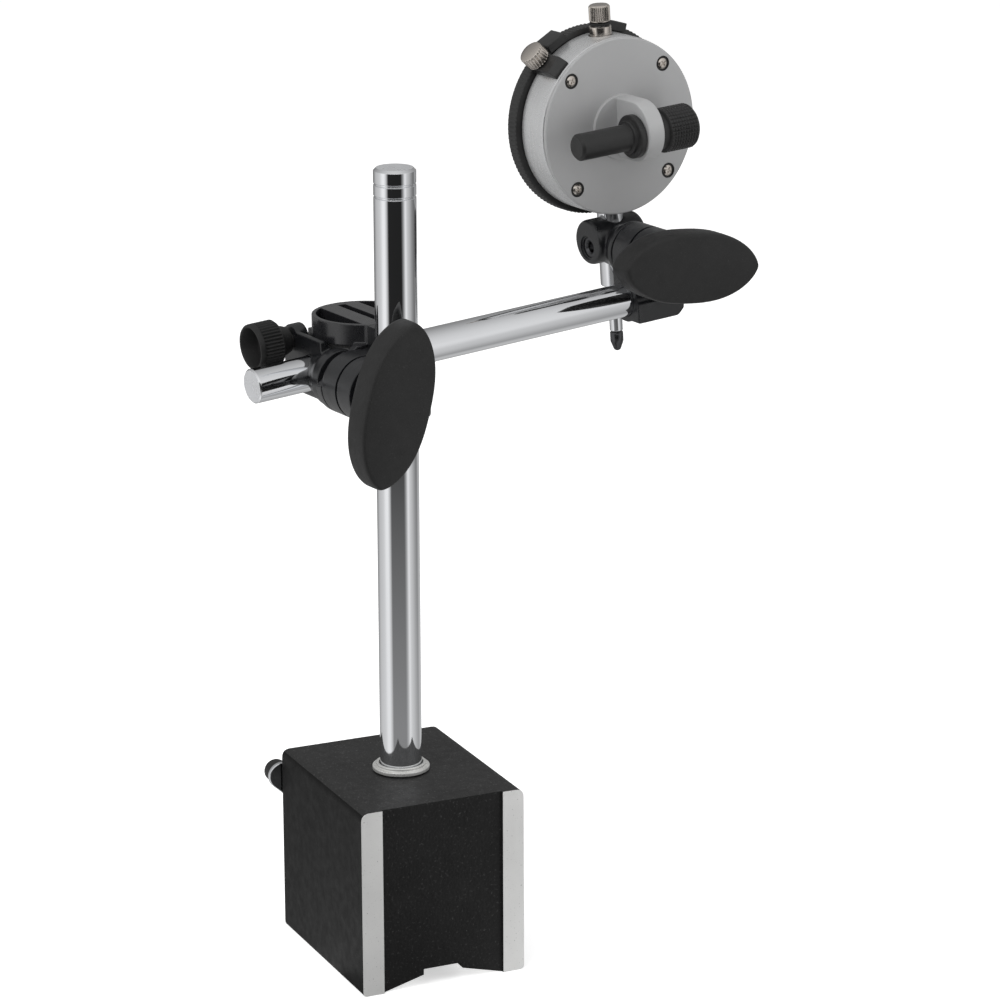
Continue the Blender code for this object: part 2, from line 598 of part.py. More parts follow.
def build_fine_screw(frame):
    axis = make_frame("fine_screw_axis", frame, (0, SCREW_Y, SCREW_Z))
    rod("fine_adjust_screw", "steel", axis, SCREW_R, KNOB_END + 0.0036, SCREW_TIP, turn=ALONG_X,
        sides=16)
    knob = outline("fine_adjust_knob", "matte_black", axis, [ribbed(KNOB_R, 0.0004, 36)],
                   KNOB_START - KNOB_END, ((KNOB_START + KNOB_END) / 2, 0, 0),
                   (math.pi / 2, 0, math.pi / 2))
    collar = rod("knob_collar", None, axis, COLLAR_ROOT_R, KNOB_START - 0.001,
                 HEAD_LEFT - 3 * GAP, turn=ALONG_X, sides=SMALL_ROUND, end_radius=COLLAR_END_R)
    cup = rod("cut_cup", None, axis, KNOB_R - KNOB_WALL, KNOB_END - 0.01,
              KNOB_START - KNOB_FACE_T, turn=ALONG_X, sides=SMALL_ROUND)
    hole = rod("cut_knob_hole", None, axis, SCREW_R + GAP, KNOB_END, 0.01, turn=ALONG_X,
               sides=16)
    cut(join(knob, collar), cup, hole)


def build_arm(frame):
    right, inner = ARM_LEFT + ARM_LENGTH, ARM_R - ARM_CHAMFER
    turned("arm", "chrome", frame, [
        (0, right), (inner, right), (ARM_R, right - ARM_CHAMFER),
        (ARM_R, ARM_LEFT + ARM_CHAMFER), (inner, ARM_LEFT), (0, ARM_LEFT)], turn=ALONG_X)


# --- end clamp, in its own frame on the arm's axis ---------------------------------------------------

def build_end_clamp(frame):
    ring = rod("end_clamp_block", "cast_black", frame, END_BLOCK_R, END_BLOCK_LEFT,
               END_BLOCK_RIGHT, turn=ALONG_X)
    half = END_EAR_R
    ear_loop = [*arc(0, END_BOLT_Z, END_EAR_R, 0, 180, 16), (-half, 0.003), (half, 0.003)]
    depth = EAR_FRONT + EAR_REAR
    ears = outline("end_ear_blank", None, frame, [ear_loop], depth,
                   (0, (EAR_REAR - EAR_FRONT) / 2, 0), FACING_FRONT)
    bore = rod("cut_end_arm", None, frame, ARM_R + GAP, -0.03, 0.03, turn=ALONG_X)
    slit = box("cut_end_slit", None, frame, (-0.03, -SLIT / 2, 0), (0.03, SLIT / 2, 0.04))
    hole = rod("cut_end_bolt", None, frame, BOLT_R + GAP, -0.03, 0.03, (0, 0, END_BOLT_Z),
               ALONG_Y, sides=SMALL_ROUND)
    cut(join(ring, ears), bore, slit, hole)
    bolt_washer("end_bolt_washer", frame, (0, 0, END_BOLT_Z))
    build_wing("end_wing_knob", frame, (0, 0, END_BOLT_Z), END_WING_LEAN, END_WING_BACK)


def build_stem_head(frame):
    """The barrel behind the end clamp that grips the indicator's stem."""
    half = STEM_HEAD_L / 2
    step = 0.0012
    head = turned("stem_head", "cast_black", frame, [
        (0, half), (STEM_HEAD_R - step, half), (STEM_HEAD_R, half - step),
        (STEM_HEAD_R, step - half), (STEM_HEAD_R - step, -half), (0, -half)],
        (0, 0, STEM_HEAD_RISE), ALONG_X)
    sleeve_start = -STEM_Y + EAR_REAR + 2 * GAP
    sleeve = rod("stem_sleeve_blank", None, frame, STEM_SLEEVE_R, sleeve_start, -0.002,
                 turn=ALONG_Y, sides=SMALL_ROUND, end_radius=STEM_HEAD_R - 0.001)
    shank = rod("cut_stem_shank", None, frame, BOLT_R + GAP, -0.03, 0, turn=ALONG_Y,
                sides=SMALL_ROUND)
    stem_hole = rod("cut_stem", None, frame, STEM_R + GAP, -0.03, 0.03, sides=SMALL_ROUND)
    eye_r = STEM_R + GAP + EYE_WALL
    eye_slot = box("cut_stem_eye", None, frame, (-eye_r - GAP, -eye_r - GAP, -EYE_T / 2 - GAP),
                   (eye_r + GAP, 0.03, EYE_T / 2 + GAP))
    side_hole = rod("cut_side_hole", None, frame, SIDE_HOLE_R, -0.03, 0, turn=ALONG_X,
                    sides=SMALL_ROUND)
    cut(join(head, sleeve), stem_hole, eye_slot, shank, side_hole)
    eye = rod("end_draw_bolt", "steel", frame, eye_r, -EYE_T / 2, EYE_T / 2, sides=SMALL_ROUND)
    shank_bar = rod("end_shank_blank", None, frame, END_SHANK_R, -STEM_Y - BOLT_TIP,
                    -STEM_R - 0.0006, turn=ALONG_Y, sides=SMALL_ROUND)
    hole = rod("cut_eye_stem", None, frame, STEM_R + GAP, -0.03, 0.03, sides=SMALL_ROUND)
    cut(join(eye, shank_bar), hole)


# --- indicator, in the dial frame (origin at the dial's centre, Z up the spindle) --------------------

def build_case(frame):
    inner = CASE_R - CASE_WALL
    floor = CASE_FRONT - CASE_FLOOR_T
    collar_in = COLLAR_R - COLLAR_WALL
    window = MOVEMENT_R + GAP
    case = turned("case", "case_silver", frame, [
        (COLLAR_R, COLLAR_FRONT), (COLLAR_R, CASE_FRONT), (CASE_R, CASE_FRONT),
        (CASE_R, CASE_BACK), (inner, CASE_BACK), (inner, floor), (window, floor),
        (window, CASE_FRONT), (collar_in, CASE_FRONT), (collar_in, COLLAR_FRONT)],
        turn=ALONG_Y, sides=WIDE_ROUND, ring=True)
    bosses = []
    holes = []
    for x, z in corner_places():
        at = (x, 0, z)
        tag = f"{'l' if x < 0 else 'r'}{'l' if z < 0 else 'u'}"
        bosses.append(rod("boss_" + tag, None, frame, BOSS_R, CASE_BACK, floor + 0.0004, at,
                          ALONG_Y, sides=16))
        holes.append(rod("cut_boss_" + tag, None, frame, PLATE_SCREW_R + GAP,
                         CASE_BACK - 0.002, CASE_BACK + 0.0050, at, ALONG_Y, sides=12))
    through = rod("cut_case_spindle", None, frame, STEM_R + GAP, -0.035, -0.020, sides=SMALL_ROUND)
    top = rod("cut_case_tube", None, frame, TUBE_R + GAP, 0.020, 0.035, sides=SMALL_ROUND)
    join(case, *bosses)
    cut(case, *holes, through, top)


def corner_places():
    s = SCREW_SPREAD
    return [(-s, s), (s, s), (-s, -s), (s, -s)]


def build_back_plate(frame):
    plate = rod("back_plate", "satin_alloy", frame, CASE_R - 0.0003, PLATE_BACK, PLATE_FRONT,
                turn=ALONG_Y, sides=WIDE_ROUND)
    pad = rod("pad_blank", None, frame, PAD_R, PLATE_BACK - PAD_T, PLATE_FRONT - 0.0002,
              turn=ALONG_Y, sides=ROUND)
    lug_loop = [*arc(LUG_END_Y, 0, LUG_R, 90, 270, 16), (PLATE_FRONT - 0.0004, -LUG_R),
                (PLATE_FRONT - 0.0004, LUG_R)]
    lug = outline("lug_blank", None, frame, [lug_loop], LUG_X1 - LUG_X0,
                  ((LUG_X0 + LUG_X1) / 2, 0, 0), (math.pi / 2, 0, math.pi / 2))
    hole = rod("cut_lug", None, frame, ROD_SHANK_R + GAP, -0.03, 0.03, (0, ROD_Y, ROD_Z), ALONG_X,
               sides=SMALL_ROUND)
    cutters = [hole]
    for i, (x, z) in enumerate(corner_places()):
        at = (x, 0, z)
        cutters.append(rod(f"cut_seat_{i}", None, frame, SEAT_R, PLATE_BACK - 0.005,
                           PLATE_BACK + SEAT_DEPTH, at, ALONG_Y, sides=16))
        cutters.append(rod(f"cut_clear_{i}", None, frame, PLATE_SCREW_R + GAP,
                           PLATE_BACK - 0.005, PLATE_FRONT + 0.005, at, ALONG_Y, sides=12))
    cut(join(plate, pad, lug), *cutters)
    for i, (x, z) in enumerate(corner_places()):
        turned(f"plate_screw_{i + 1}", "nickel", frame, [
            (0, PLATE_SCREW_HEAD_T), (PLATE_SCREW_HEAD_R - 0.0004, PLATE_SCREW_HEAD_T),
            (PLATE_SCREW_HEAD_R, PLATE_SCREW_HEAD_T / 2), (PLATE_SCREW_HEAD_R, 0),
            (PLATE_SCREW_R, 0), (PLATE_SCREW_R, -PLATE_SCREW_L), (0, -PLATE_SCREW_L)],
            (x, PLATE_BACK + SEAT_DEPTH - GAP, z), FACING_FRONT, 16)


def build_stem(frame):
    bore = SPINDLE_R + GAP
    turned("stem", "chrome", frame, [
        (STEM_R, STEM_TOP), (STEM_R, STEM_END + 0.0005), (STEM_R - 0.0005, STEM_END),
        (bore, STEM_END), (bore, STEM_TOP)], sides=SMALL_ROUND, ring=True)


def build_upper_tube(frame):
    bore = SPINDLE_R + GAP
    turned("upper_tube", "nickel", frame, [
        (TUBE_R, TUBE_TOP), (TUBE_R, TUBE_LOW), (bore, TUBE_LOW), (bore, TUBE_TOP)],
        sides=SMALL_ROUND, ring=True)


def rack_cutter(frame):
    """The waste beside the spindle's rack, with a tooth at each pitch."""
    points = [(SPINDLE_R + 0.001, RACK_LOW)]
    for i in range(RACK_TEETH):
        root = RACK_LOW + i * RACK_PITCH
        points += [(RACK_FLAT, root), (RACK_FLAT - RACK_DEPTH, root + RACK_PITCH / 2)]
    top = RACK_LOW + RACK_TEETH * RACK_PITCH
    points += [(RACK_FLAT, top), (SPINDLE_R + 0.001, top)]
    return outline("cut_rack", None, frame, [points], 0.006, turn=FACING_FRONT)


def build_spindle(frame):
    spindle = turned("spindle", "chrome", frame, [
        (0, SPINDLE_TOP), (SPINDLE_R, SPINDLE_TOP), (SPINDLE_R, SPINDLE_END),
        (0, SPINDLE_END)], sides=SMALL_ROUND)
    cut(spindle, rack_cutter(frame))
    tip = SPINDLE_END - GAP
    turned("contact_point", "steel", frame, [
        (0, tip), (TIP_R, tip), (TIP_R, tip - TIP_STRAIGHT), (0.0011, TIP_END + 0.0007),
        (0.0006, TIP_END + 0.0002), (0, TIP_END)], sides=SMALL_ROUND)
    turned("cap_ring", "rubber", frame, [
        (CAP_R, CAP_LOW - GAP), (CAP_R, TUBE_TOP + GAP), (SPINDLE_R + GAP, TUBE_TOP + GAP),
        (SPINDLE_R + GAP, CAP_LOW - GAP)], sides=SMALL_ROUND, ring=True)
    cap = outline("lift_cap", "nickel", frame, [ribbed(CAP_R, 0.0002, 24)], CAP_TOP - CAP_LOW,
                  (0, 0, (CAP_TOP + CAP_LOW) / 2))
    cut(cap, rod("cut_cap", None, frame, SPINDLE_R + GAP, 0.02, SPINDLE_TOP + GAP,
                 sides=SMALL_ROUND))


def train_places():
    """Where the rack wheel and the hairspring wheel stand, round the centre pinion."""
    x = RACK_FLAT + RACK_PINION_R + TEETH_GAP
    z = math.sqrt((WHEEL_R + PINION_R + TEETH_GAP) ** 2 - x ** 2)
    return x, z


def build_train(frame):
    """The rack wheel, the centre pinion with the pointer, and the hairspring wheel."""
    x, z = train_places()
    rack_axis = make_frame("rack_wheel_axis", frame, (x, 0, z))
    hair_axis = make_frame("hairspring_wheel_axis", frame, (x, 0, -z))
    centre = make_frame("pointer_axis", frame)
    teeth = ribbed(WHEEL_R, 0.0004, WHEEL_TEETH)
    wheel = outline("rack_wheel", "brass", rack_axis, [teeth], WHEEL_T, (0, WHEEL_Y, 0),
                    FACING_FRONT)
    pinion = outline("rack_pinion_blank", None, rack_axis, [ribbed(RACK_PINION_R, 0.0003, 16)],
                     WHEEL_Y + 0.0015, (0, (WHEEL_Y - 0.0015) / 2, 0), FACING_FRONT)
    arbor = rod("rack_arbor_blank", None, rack_axis, ARBOR_R, -0.0035, 0.0076, turn=ALONG_Y,
                sides=12)
    join(wheel, pinion, arbor)
    hair_wheel = outline("hairspring_wheel", "brass", hair_axis, [teeth], WHEEL_T,
                         (0, WHEEL_Y, 0), FACING_FRONT)
    join(hair_wheel, rod("hair_arbor_blank", None, hair_axis, ARBOR_R, 0.0018, 0.0058,
                         turn=ALONG_Y, sides=12))
    small = outline("centre_pinion", "steel", centre, [ribbed(PINION_R, 0.0003, PINION_TEETH)],
                    WHEEL_T, (0, WHEEL_Y, 0), FACING_FRONT)
    join(small, rod("centre_arbor_blank", None, centre, ARBOR_R, WHEEL_Y, 0.0090,
                    turn=ALONG_Y, sides=12))
    pointer("main_pointer", centre, MAIN_POINTER_Y, MAIN_POINTER_L, 0.0018, 0.0002)
    pointer("small_pointer", rack_axis, SMALL_POINTER_Y, SMALL_POINTER_L, 0.0011, 0.0001)
    movement = rod("movement_plate", "brass", frame, MOVEMENT_R, 0.0043, 0.0060, turn=ALONG_Y)
    inner_dial = rod("inner_dial", "dial_white", frame, INNER_DIAL_R, DIAL_BACK, DIAL_FRONT,
                     turn=ALONG_Y)
    for tag, at in (("centre", (0, 0, 0)), ("rack", (x, 0, z)), ("hair", (x, 0, -z))):
        hole = rod("cut_pivot_" + tag, None, frame, ARBOR_R + GAP, 0, 0.02, at, ALONG_Y,
                   sides=12)
        cut(movement, hole)
        if tag != "hair":
            cut(inner_dial, hole)


def pointer(name, axis, y, reach, hub, tip):
    """A tapered hand with a hub, on an arbor along Y; it points up at zero."""
    loop = [*arc(0, 0, hub, 110, 430, 14), (tip, reach), (-tip, reach)]
    hand = outline(name, "rubber", axis, [loop], 0.0003, (0, y, 0), FACING_FRONT)
    cut(hand, rod("cut_" + name, None, axis, ARBOR_R + 0.0001, 0, 0.02, turn=ALONG_Y, sides=12))


def build_springs(frame):
    """The hairspring, and the spring that pulls the spindle down by its guide pin."""
    x, z = train_places()
    spiral = []
    spiral_y = WHEEL_Y + WHEEL_T - HAIR_WIRE_R + 0.00003
    for i in range(HAIR_TURNS * HAIR_STEPS):
        t = 2 * math.pi * i / HAIR_STEPS
        r = HAIR_START_R + HAIR_PITCH * i / HAIR_STEPS
        spiral.append((x + r * math.cos(t), spiral_y, -z + r * math.sin(t)))
    wire("hairspring", "steel", frame, spiral, HAIR_WIRE_R)
    rod("guide_pin", "steel", frame, GUIDE_PIN_R, SPRING_X - 2 * GUIDE_PIN_R, -SPINDLE_R - GAP,
        (0, 0, GUIDE_PIN_Z), ALONG_X, 16)
    high = GUIDE_PIN_Z - 2 * GUIDE_PIN_R
    steps = SPRING_TURNS * SPRING_STEPS
    coil = []
    for i in range(steps + 1):
        t = 2 * math.pi * i / SPRING_STEPS
        coil.append((SPRING_X + SPRING_R * math.cos(t), SPRING_R * math.sin(t),
                     SPRING_LOW + (high - SPRING_LOW) * i / steps))
    wire("return_spring", "steel", frame, coil, SPRING_WIRE_R)


def build_bezel(frame):
    """The turning bezel with its lens, outer dial and two tolerance clips."""
    bezel = outline("bezel", "cast_black", frame, [ribbed(BEZEL_R, 0.0004, BEZEL_RIBS)],
                    BEZEL_FRONT - BEZEL_BACK, (0, (BEZEL_FRONT + BEZEL_BACK) / 2, 0),
                    FACING_FRONT)
    nose = rod("bezel_nose", None, frame, BEZEL_R - NOSE_SET, BEZEL_FRONT - 0.0005,
               LENS_FRONT - 0.0005, turn=ALONG_Y, sides=WIDE_ROUND,
               end_radius=BEZEL_BORE + NOSE_SET)
    hole = rod("cut_bezel", None, frame, BEZEL_BORE, 0, 0.03, turn=ALONG_Y, sides=WIDE_ROUND)
    cut(join(bezel, nose), hole)
    dome = [(0, LENS_FRONT), (0.012, LENS_FRONT - 0.0004), (0.020, LENS_FRONT - 0.0014),
            (LENS_R, LENS_EDGE)]
    turned("crystal", "lens", frame, dome + [(r, y - LENS_T) for r, y in reversed(dome)],
           turn=ALONG_Y, sides=WIDE_ROUND)
    turned("outer_dial", "dial_white", frame, [
        (DIAL_R, DIAL_FRONT), (DIAL_R, DIAL_BACK), (INNER_DIAL_R + GAP, DIAL_BACK),
        (INNER_DIAL_R + GAP, DIAL_FRONT)], turn=ALONG_Y, sides=WIDE_ROUND, ring=True)
    for side, angle in CLIP_ANGLES.items():
        spoke = make_frame(f"tolerance_clip_{side}_spoke", frame, turn=(0, -angle, 0))
        under = BEZEL_R + GAP
        back, front, leg = BEZEL_BACK - GAP, BEZEL_FRONT + GAP, CLIP_LEG
        loop = [(CLIP_R, back - leg), (CLIP_R, front + leg), (BEZEL_R - 0.0008, front + leg),
                (BEZEL_R - 0.0008, front), (under, front), (under, back),
                (BEZEL_R - 0.0014, back), (BEZEL_R - 0.0014, back - leg)]
        outline(f"tolerance_clip_{side}", "cast_black", spoke, [loop], 2 * CLIP_HALF)


def build_bezel_lock(frame):
    spoke = make_frame("bezel_lock_spoke", frame, turn=(0, -LOCK_ANGLE, 0))
    seat = CASE_R + GAP
    back = CASE_BACK + 0.0006
    loop = [(seat, back), (seat + 0.0012, back), (LOCK_TOP, back + 0.0018),
            (LOCK_TOP, BEZEL_BACK - GAP), (seat, BEZEL_BACK - GAP)]
    block = outline("bezel_lock_block", "cast_black", spoke, [loop], 2 * LOCK_HALF)
    at = (0, LOCK_SCREW_Y, 0)
    cut(block, rod("cut_lock", None, spoke, LOCK_SHANK_R + GAP, 0.02, 0.04, at, ALONG_X, 16))
    screw_axis = make_frame("bezel_lock_screw_axis", spoke, at)
    under = LOCK_TOP + GAP
    screw = outline("bezel_lock_screw", "nickel", screw_axis, [ribbed(LOCK_HEAD_R, 0.0003, 20)],
                    LOCK_HEAD_L, (under + LOCK_HEAD_L / 2, 0, 0),
                    (math.pi / 2, 0, math.pi / 2))
    join(screw, rod("lock_shank_blank", None, screw_axis, LOCK_SHANK_R, seat + 0.0005,
                    under + 0.001, turn=ALONG_X, sides=16))


def build_lug_rod(frame):
    """The mounting rod through the back plate's lug, and the knurled nut that locks it."""
    at = (0, ROD_Y, ROD_Z)
    shoulder, end = LUG_X0 - GAP, NUT_RIGHT - 0.0018
    turned("lug_rod", "cast_black", frame, [
        (0, end), (ROD_SHANK_R, end), (ROD_SHANK_R, shoulder), (FLANGE_R, shoulder),
        (FLANGE_R, shoulder - 0.0020), (FLANGE_STEP_R, shoulder - 0.0020),
        (FLANGE_STEP_R, shoulder - 0.0032), (ROD_R, shoulder - 0.0032),
        (ROD_R, ROD_LEFT + 0.0008), (ROD_R - 0.0008, ROD_LEFT), (0, ROD_LEFT)], at, ALONG_X, 32)
    axis = make_frame("lug_nut_axis", frame, at)
    left, knurl, dome = LUG_X1 + GAP, LUG_X1 + 0.0030, NUT_RIGHT - 0.0012
    nut = outline("lug_nut", "cast_black", axis, [ribbed(NUT_R, 0.0003, 32)], dome - knurl,
                  ((dome + knurl) / 2, 0, 0), (math.pi / 2, 0, math.pi / 2))
    collar = rod("nut_collar_blank", None, axis, NUT_COLLAR_R, left, knurl + 0.0005, turn=ALONG_X,
                 sides=SMALL_ROUND)
    cap = rod("nut_dome_blank", None, axis, NUT_R - 0.0003, dome - 0.0002, NUT_RIGHT,
              turn=ALONG_X, sides=SMALL_ROUND, end_radius=NUT_DOME_R)
    hole = rod("cut_nut", None, axis, ROD_SHANK_R + GAP, 0, end + GAP, turn=ALONG_X,
               sides=SMALL_ROUND)
    cut(join(nut, collar, cap), hole)


build_base()
build_switch()
build_post()
clamp_frame = make_frame("clamp_frame", None, (0, 0, CLAMP_Z), (0, 0, ARM_AZIMUTH))
build_main_clamp(clamp_frame)
arm_frame = make_frame("arm_frame", clamp_frame, (BOLT_X, ARM_Y, 0), (0, -ARM_TILT, 0))
build_head(arm_frame)
build_fine_screw(arm_frame)
build_arm(arm_frame)
end_frame = make_frame("end_clamp_frame", arm_frame, (END_S, 0, 0))
build_end_clamp(end_frame)
stem_head_frame = make_frame("stem_head_frame", end_frame, (0, STEM_Y, END_BOLT_Z))
build_stem_head(stem_head_frame)
dial_frame = make_frame("dial_frame", end_frame, (0, STEM_Y, DIAL_Z))
build_case(dial_frame)
build_back_plate(dial_frame)
build_stem(dial_frame)
build_upper_tube(dial_frame)
build_spindle(dial_frame)
build_train(dial_frame)
build_springs(dial_frame)
build_bezel(dial_frame)
build_bezel_lock(dial_frame)
build_lug_rod(dial_frame)
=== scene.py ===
"""Looks for the dial indicator on its magnetic base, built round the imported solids.

Every piece is modelled in millimetres in one of a few frames read from the joints, and rides on a body.
"""
import json
import math

import bmesh
import bpy
from mathutils import Matrix, Vector


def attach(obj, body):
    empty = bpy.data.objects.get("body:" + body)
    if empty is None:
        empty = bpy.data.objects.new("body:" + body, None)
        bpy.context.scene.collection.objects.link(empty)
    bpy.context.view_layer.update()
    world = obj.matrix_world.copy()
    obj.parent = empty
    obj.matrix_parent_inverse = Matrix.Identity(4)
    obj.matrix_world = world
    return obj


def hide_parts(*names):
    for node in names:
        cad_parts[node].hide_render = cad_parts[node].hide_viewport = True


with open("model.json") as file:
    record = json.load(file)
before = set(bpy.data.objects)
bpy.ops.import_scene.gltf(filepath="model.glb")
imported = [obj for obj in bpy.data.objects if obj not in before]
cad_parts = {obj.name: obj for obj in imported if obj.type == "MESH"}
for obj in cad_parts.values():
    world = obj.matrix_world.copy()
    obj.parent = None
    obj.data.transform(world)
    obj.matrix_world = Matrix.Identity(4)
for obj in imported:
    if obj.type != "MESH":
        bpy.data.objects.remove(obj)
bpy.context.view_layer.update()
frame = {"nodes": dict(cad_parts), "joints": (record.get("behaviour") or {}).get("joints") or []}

MM = 0.001
SCENE = bpy.context.scene
FINE = 96               # sides of a large round
SMALL = 64              # sides of a small round
VOXEL, CAST_PASSES = 0.26, 6

# --- frames, from the joints ---

JOINTS = {joint["name"]: joint for joint in frame["joints"]}
UP = Vector((0, 0, 1))


def spot(joint):
    return Vector(JOINTS[joint]["pos_m"])


def aim(joint):
    return Vector(JOINTS[joint]["axis"]).normalized()


def axes_at(origin, x, y):
    """A frame with these X and Y directions."""
    return Matrix.Translation(origin) @ Matrix((x, y, x.cross(y))).transposed().to_4x4()


rear = -aim("main_wing_turn")
bolt = spot("main_wing_turn")
arm_x = aim("arm_slide")
up_dial = arm_x.cross(rear)
arm_end = spot("end_clamp_turn")
end_bolt = spot("end_swivel")
dial = spot("bezel_turn")
foot = spot("post_turn")
WORLD = Matrix.Translation(foot)
CLAMP = axes_at(Vector((foot.x, foot.y, bolt.z)), rear.cross(UP), rear)
ARM = axes_at(arm_end - arm_x * (arm_end - bolt).dot(arm_x), arm_x, rear)
END = axes_at(arm_end, arm_x, rear)
DIAL = axes_at(dial, arm_x, rear)
HEAD = axes_at(dial - up_dial * (dial - end_bolt).dot(up_dial), arm_x, rear)
FINE_AXIS = axes_at(spot("fine_screw_turn"), arm_x, rear)
LEVER = Matrix.Translation(spot("magnet_switch_turn"))

ALONG_X = Matrix.Rotation(math.pi / 2, 4, "Y")      # Z to X
ALONG_Y = Matrix.Rotation(-math.pi / 2, 4, "X")     # Z to Y
FACING = Matrix.Rotation(math.pi / 2, 4, "X")       # lays an outline's (x, y) on (X, Z)
SIDEWAYS = Matrix.Rotation(math.pi / 2, 4, "Z") @ FACING  # lays an outline's (x, y) on (Y, Z)
AS_IS = Matrix.Identity(4)

# --- materials ---


class Nodes:
    """A short way to add and link shader nodes."""

    def __init__(self, tree):
        self.tree = tree
        tree.nodes.clear()

    def add(self, kind, settings=None, **inputs):
        node = self.tree.nodes.new(kind)
        for key, value in (settings or {}).items():
            setattr(node, key, value)
        for key, value in inputs.items():
            self.feed(node, key.replace("_", " "), value)
        return node

    def feed(self, node, key, value):
        target = node.inputs[int(key[3:])] if key.startswith("at ") else node.inputs[key]
        if isinstance(value, bpy.types.NodeSocket):
            self.tree.links.new(value, target)
        else:
            target.default_value = value

    def math(self, operation, a, b=0.0, clamp=False):
        node = self.add("ShaderNodeMath", {"operation": operation, "use_clamp": clamp})
        self.feed(node, "at 0", a)
        self.feed(node, "at 1", b)
        return node.outputs[0]

    def span(self, value, low, high, to_low, to_high):
        node = self.add("ShaderNodeMapRange", {"clamp": True}, Value=value)
        for key, number in (("From Min", low), ("From Max", high), ("To Min", to_low),
                            ("To Max", to_high)):
            self.feed(node, key, number)
        return node.outputs[0]

    def mix(self, factor, a, b):
        node = self.add("ShaderNodeMix", {"data_type": "RGBA"})
        self.feed(node, "at 0", factor)
        self.feed(node, "at 6", a)
        self.feed(node, "at 7", b)
        return node.outputs[2]

    def noise(self, place, scale, detail=3.0, rough=0.55):
        node = self.add("ShaderNodeTexNoise", None, Vector=place, Scale=scale, Detail=detail,
                        Roughness=rough)
        return node.outputs[0]


def grey(value):
    return (value, value, value, 1.0)


def surface(name, colour, metallic=0.0, roughness=0.5, grain=(), mottle=(60, 0.08),
            rough_spread=0.06, edge_radius=0.25, edge_shading_colour=None, edge_shading_share=0.6,
            stretch=(1, 1, 1), coat=0.0, specks=None, specular=0.5):
    """A procedural surface: mottled colour, uneven roughness, fine grain and softened edges with a
    patchy painted highlight.

    grain lists (scale per metre, depth in mm); stretch pulls the brushing along an axis.
    """
    made = bpy.data.materials.new(name)
    made.use_nodes = True
    n = Nodes(made.node_tree)
    place = n.add("ShaderNodeTexCoord").outputs["Object"]
    brushed = n.add("ShaderNodeMapping", None, Vector=place, Scale=stretch).outputs[0]
    cloud = n.noise(place, mottle[0], 5.0)
    shade = n.span(cloud, 0.3, 0.7, 1 - mottle[1], 1 + mottle[1])
    base = n.add("ShaderNodeVectorMath", {"operation": "SCALE"})
    n.feed(base, "at 0", colour[:3])
    n.feed(base, "Scale", shade)
    tint = base.outputs[0]
    rounded = n.add("ShaderNodeBevel", {"samples": 6}, Radius=edge_radius * MM).outputs[0]
    true_normal = n.add("ShaderNodeNewGeometry").outputs["Normal"]
    facing = n.add("ShaderNodeVectorMath", {"operation": "DOT_PRODUCT"})
    n.feed(facing, "at 0", rounded)
    n.feed(facing, "at 1", true_normal)
    # painted highlight on the rounded edges (a painted shade where the edge colour is darker), broken
    # into patches by noise
    edge = n.span(facing.outputs["Value"], 0.96, 0.80, 0.0, 1.0)
    patchy = n.span(n.noise(place, 500, 3.0), 0.35, 0.6, 0.4, 1.0)
    edge = n.math("MULTIPLY", edge, n.math("MULTIPLY", patchy, edge_shading_share))
    if edge_shading_colour:
        tint = n.mix(edge, tint, edge_shading_colour)
    rough = n.span(n.noise(brushed, 350, 4.0), 0.3, 0.7, roughness - rough_spread,
                   roughness + rough_spread)
    normal = rounded
    for scale, depth in grain:
        height = n.noise(brushed, scale, 2.0)
        bump = n.add("ShaderNodeBump", None, Strength=1.0, Distance=depth * MM, Height=height,
                     Normal=normal)
        normal = bump.outputs[0]
    if specks:
        scale, low, high, speck_colour, speck_rough = specks
        spot_mask = n.span(n.noise(place, scale, 2.0, 0.6), low, high, 0.0, 1.0)
        tint = n.mix(spot_mask, tint, speck_colour)
        rough = n.math("ADD", n.math("MULTIPLY", rough, n.math("SUBTRACT", 1.0, spot_mask)),
                       n.math("MULTIPLY", spot_mask, speck_rough))
    shader = n.add("ShaderNodeBsdfPrincipled", None, Base_Color=tint, Metallic=metallic,
                   Roughness=rough, Normal=normal, Coat_Weight=coat,
                   Specular_IOR_Level=specular)
    n.feed(shader, "Coat Roughness", 0.25)
    n.feed(n.add("ShaderNodeOutputMaterial"), "Surface", shader.outputs[0])
    return made


def clear_plastic():
    """The lens: clear, with the faintest haze."""
    made = bpy.data.materials.new("lens_clear")
    made.use_nodes = True
    n = Nodes(made.node_tree)
    place = n.add("ShaderNodeTexCoord").outputs["Object"]
    haze = n.span(n.noise(place, 120, 4.0), 0.4, 0.7, 0.01, 0.05)
    shader = n.add("ShaderNodeBsdfPrincipled", None, Base_Color=(0.97, 0.985, 0.98, 1.0),
                   Roughness=haze, Transmission_Weight=1.0, IOR=1.45)
    through = n.add("ShaderNodeBsdfTransparent")
    shadow = n.add("ShaderNodeLightPath").outputs["Is Shadow Ray"]
    either = n.add("ShaderNodeMixShader")
    n.feed(either, "at 0", shadow)
    n.feed(either, "at 1", shader.outputs[0])
    n.feed(either, "at 2", through.outputs[0])
    n.feed(n.add("ShaderNodeOutputMaterial"), "Surface", either.outputs[0])
    return made
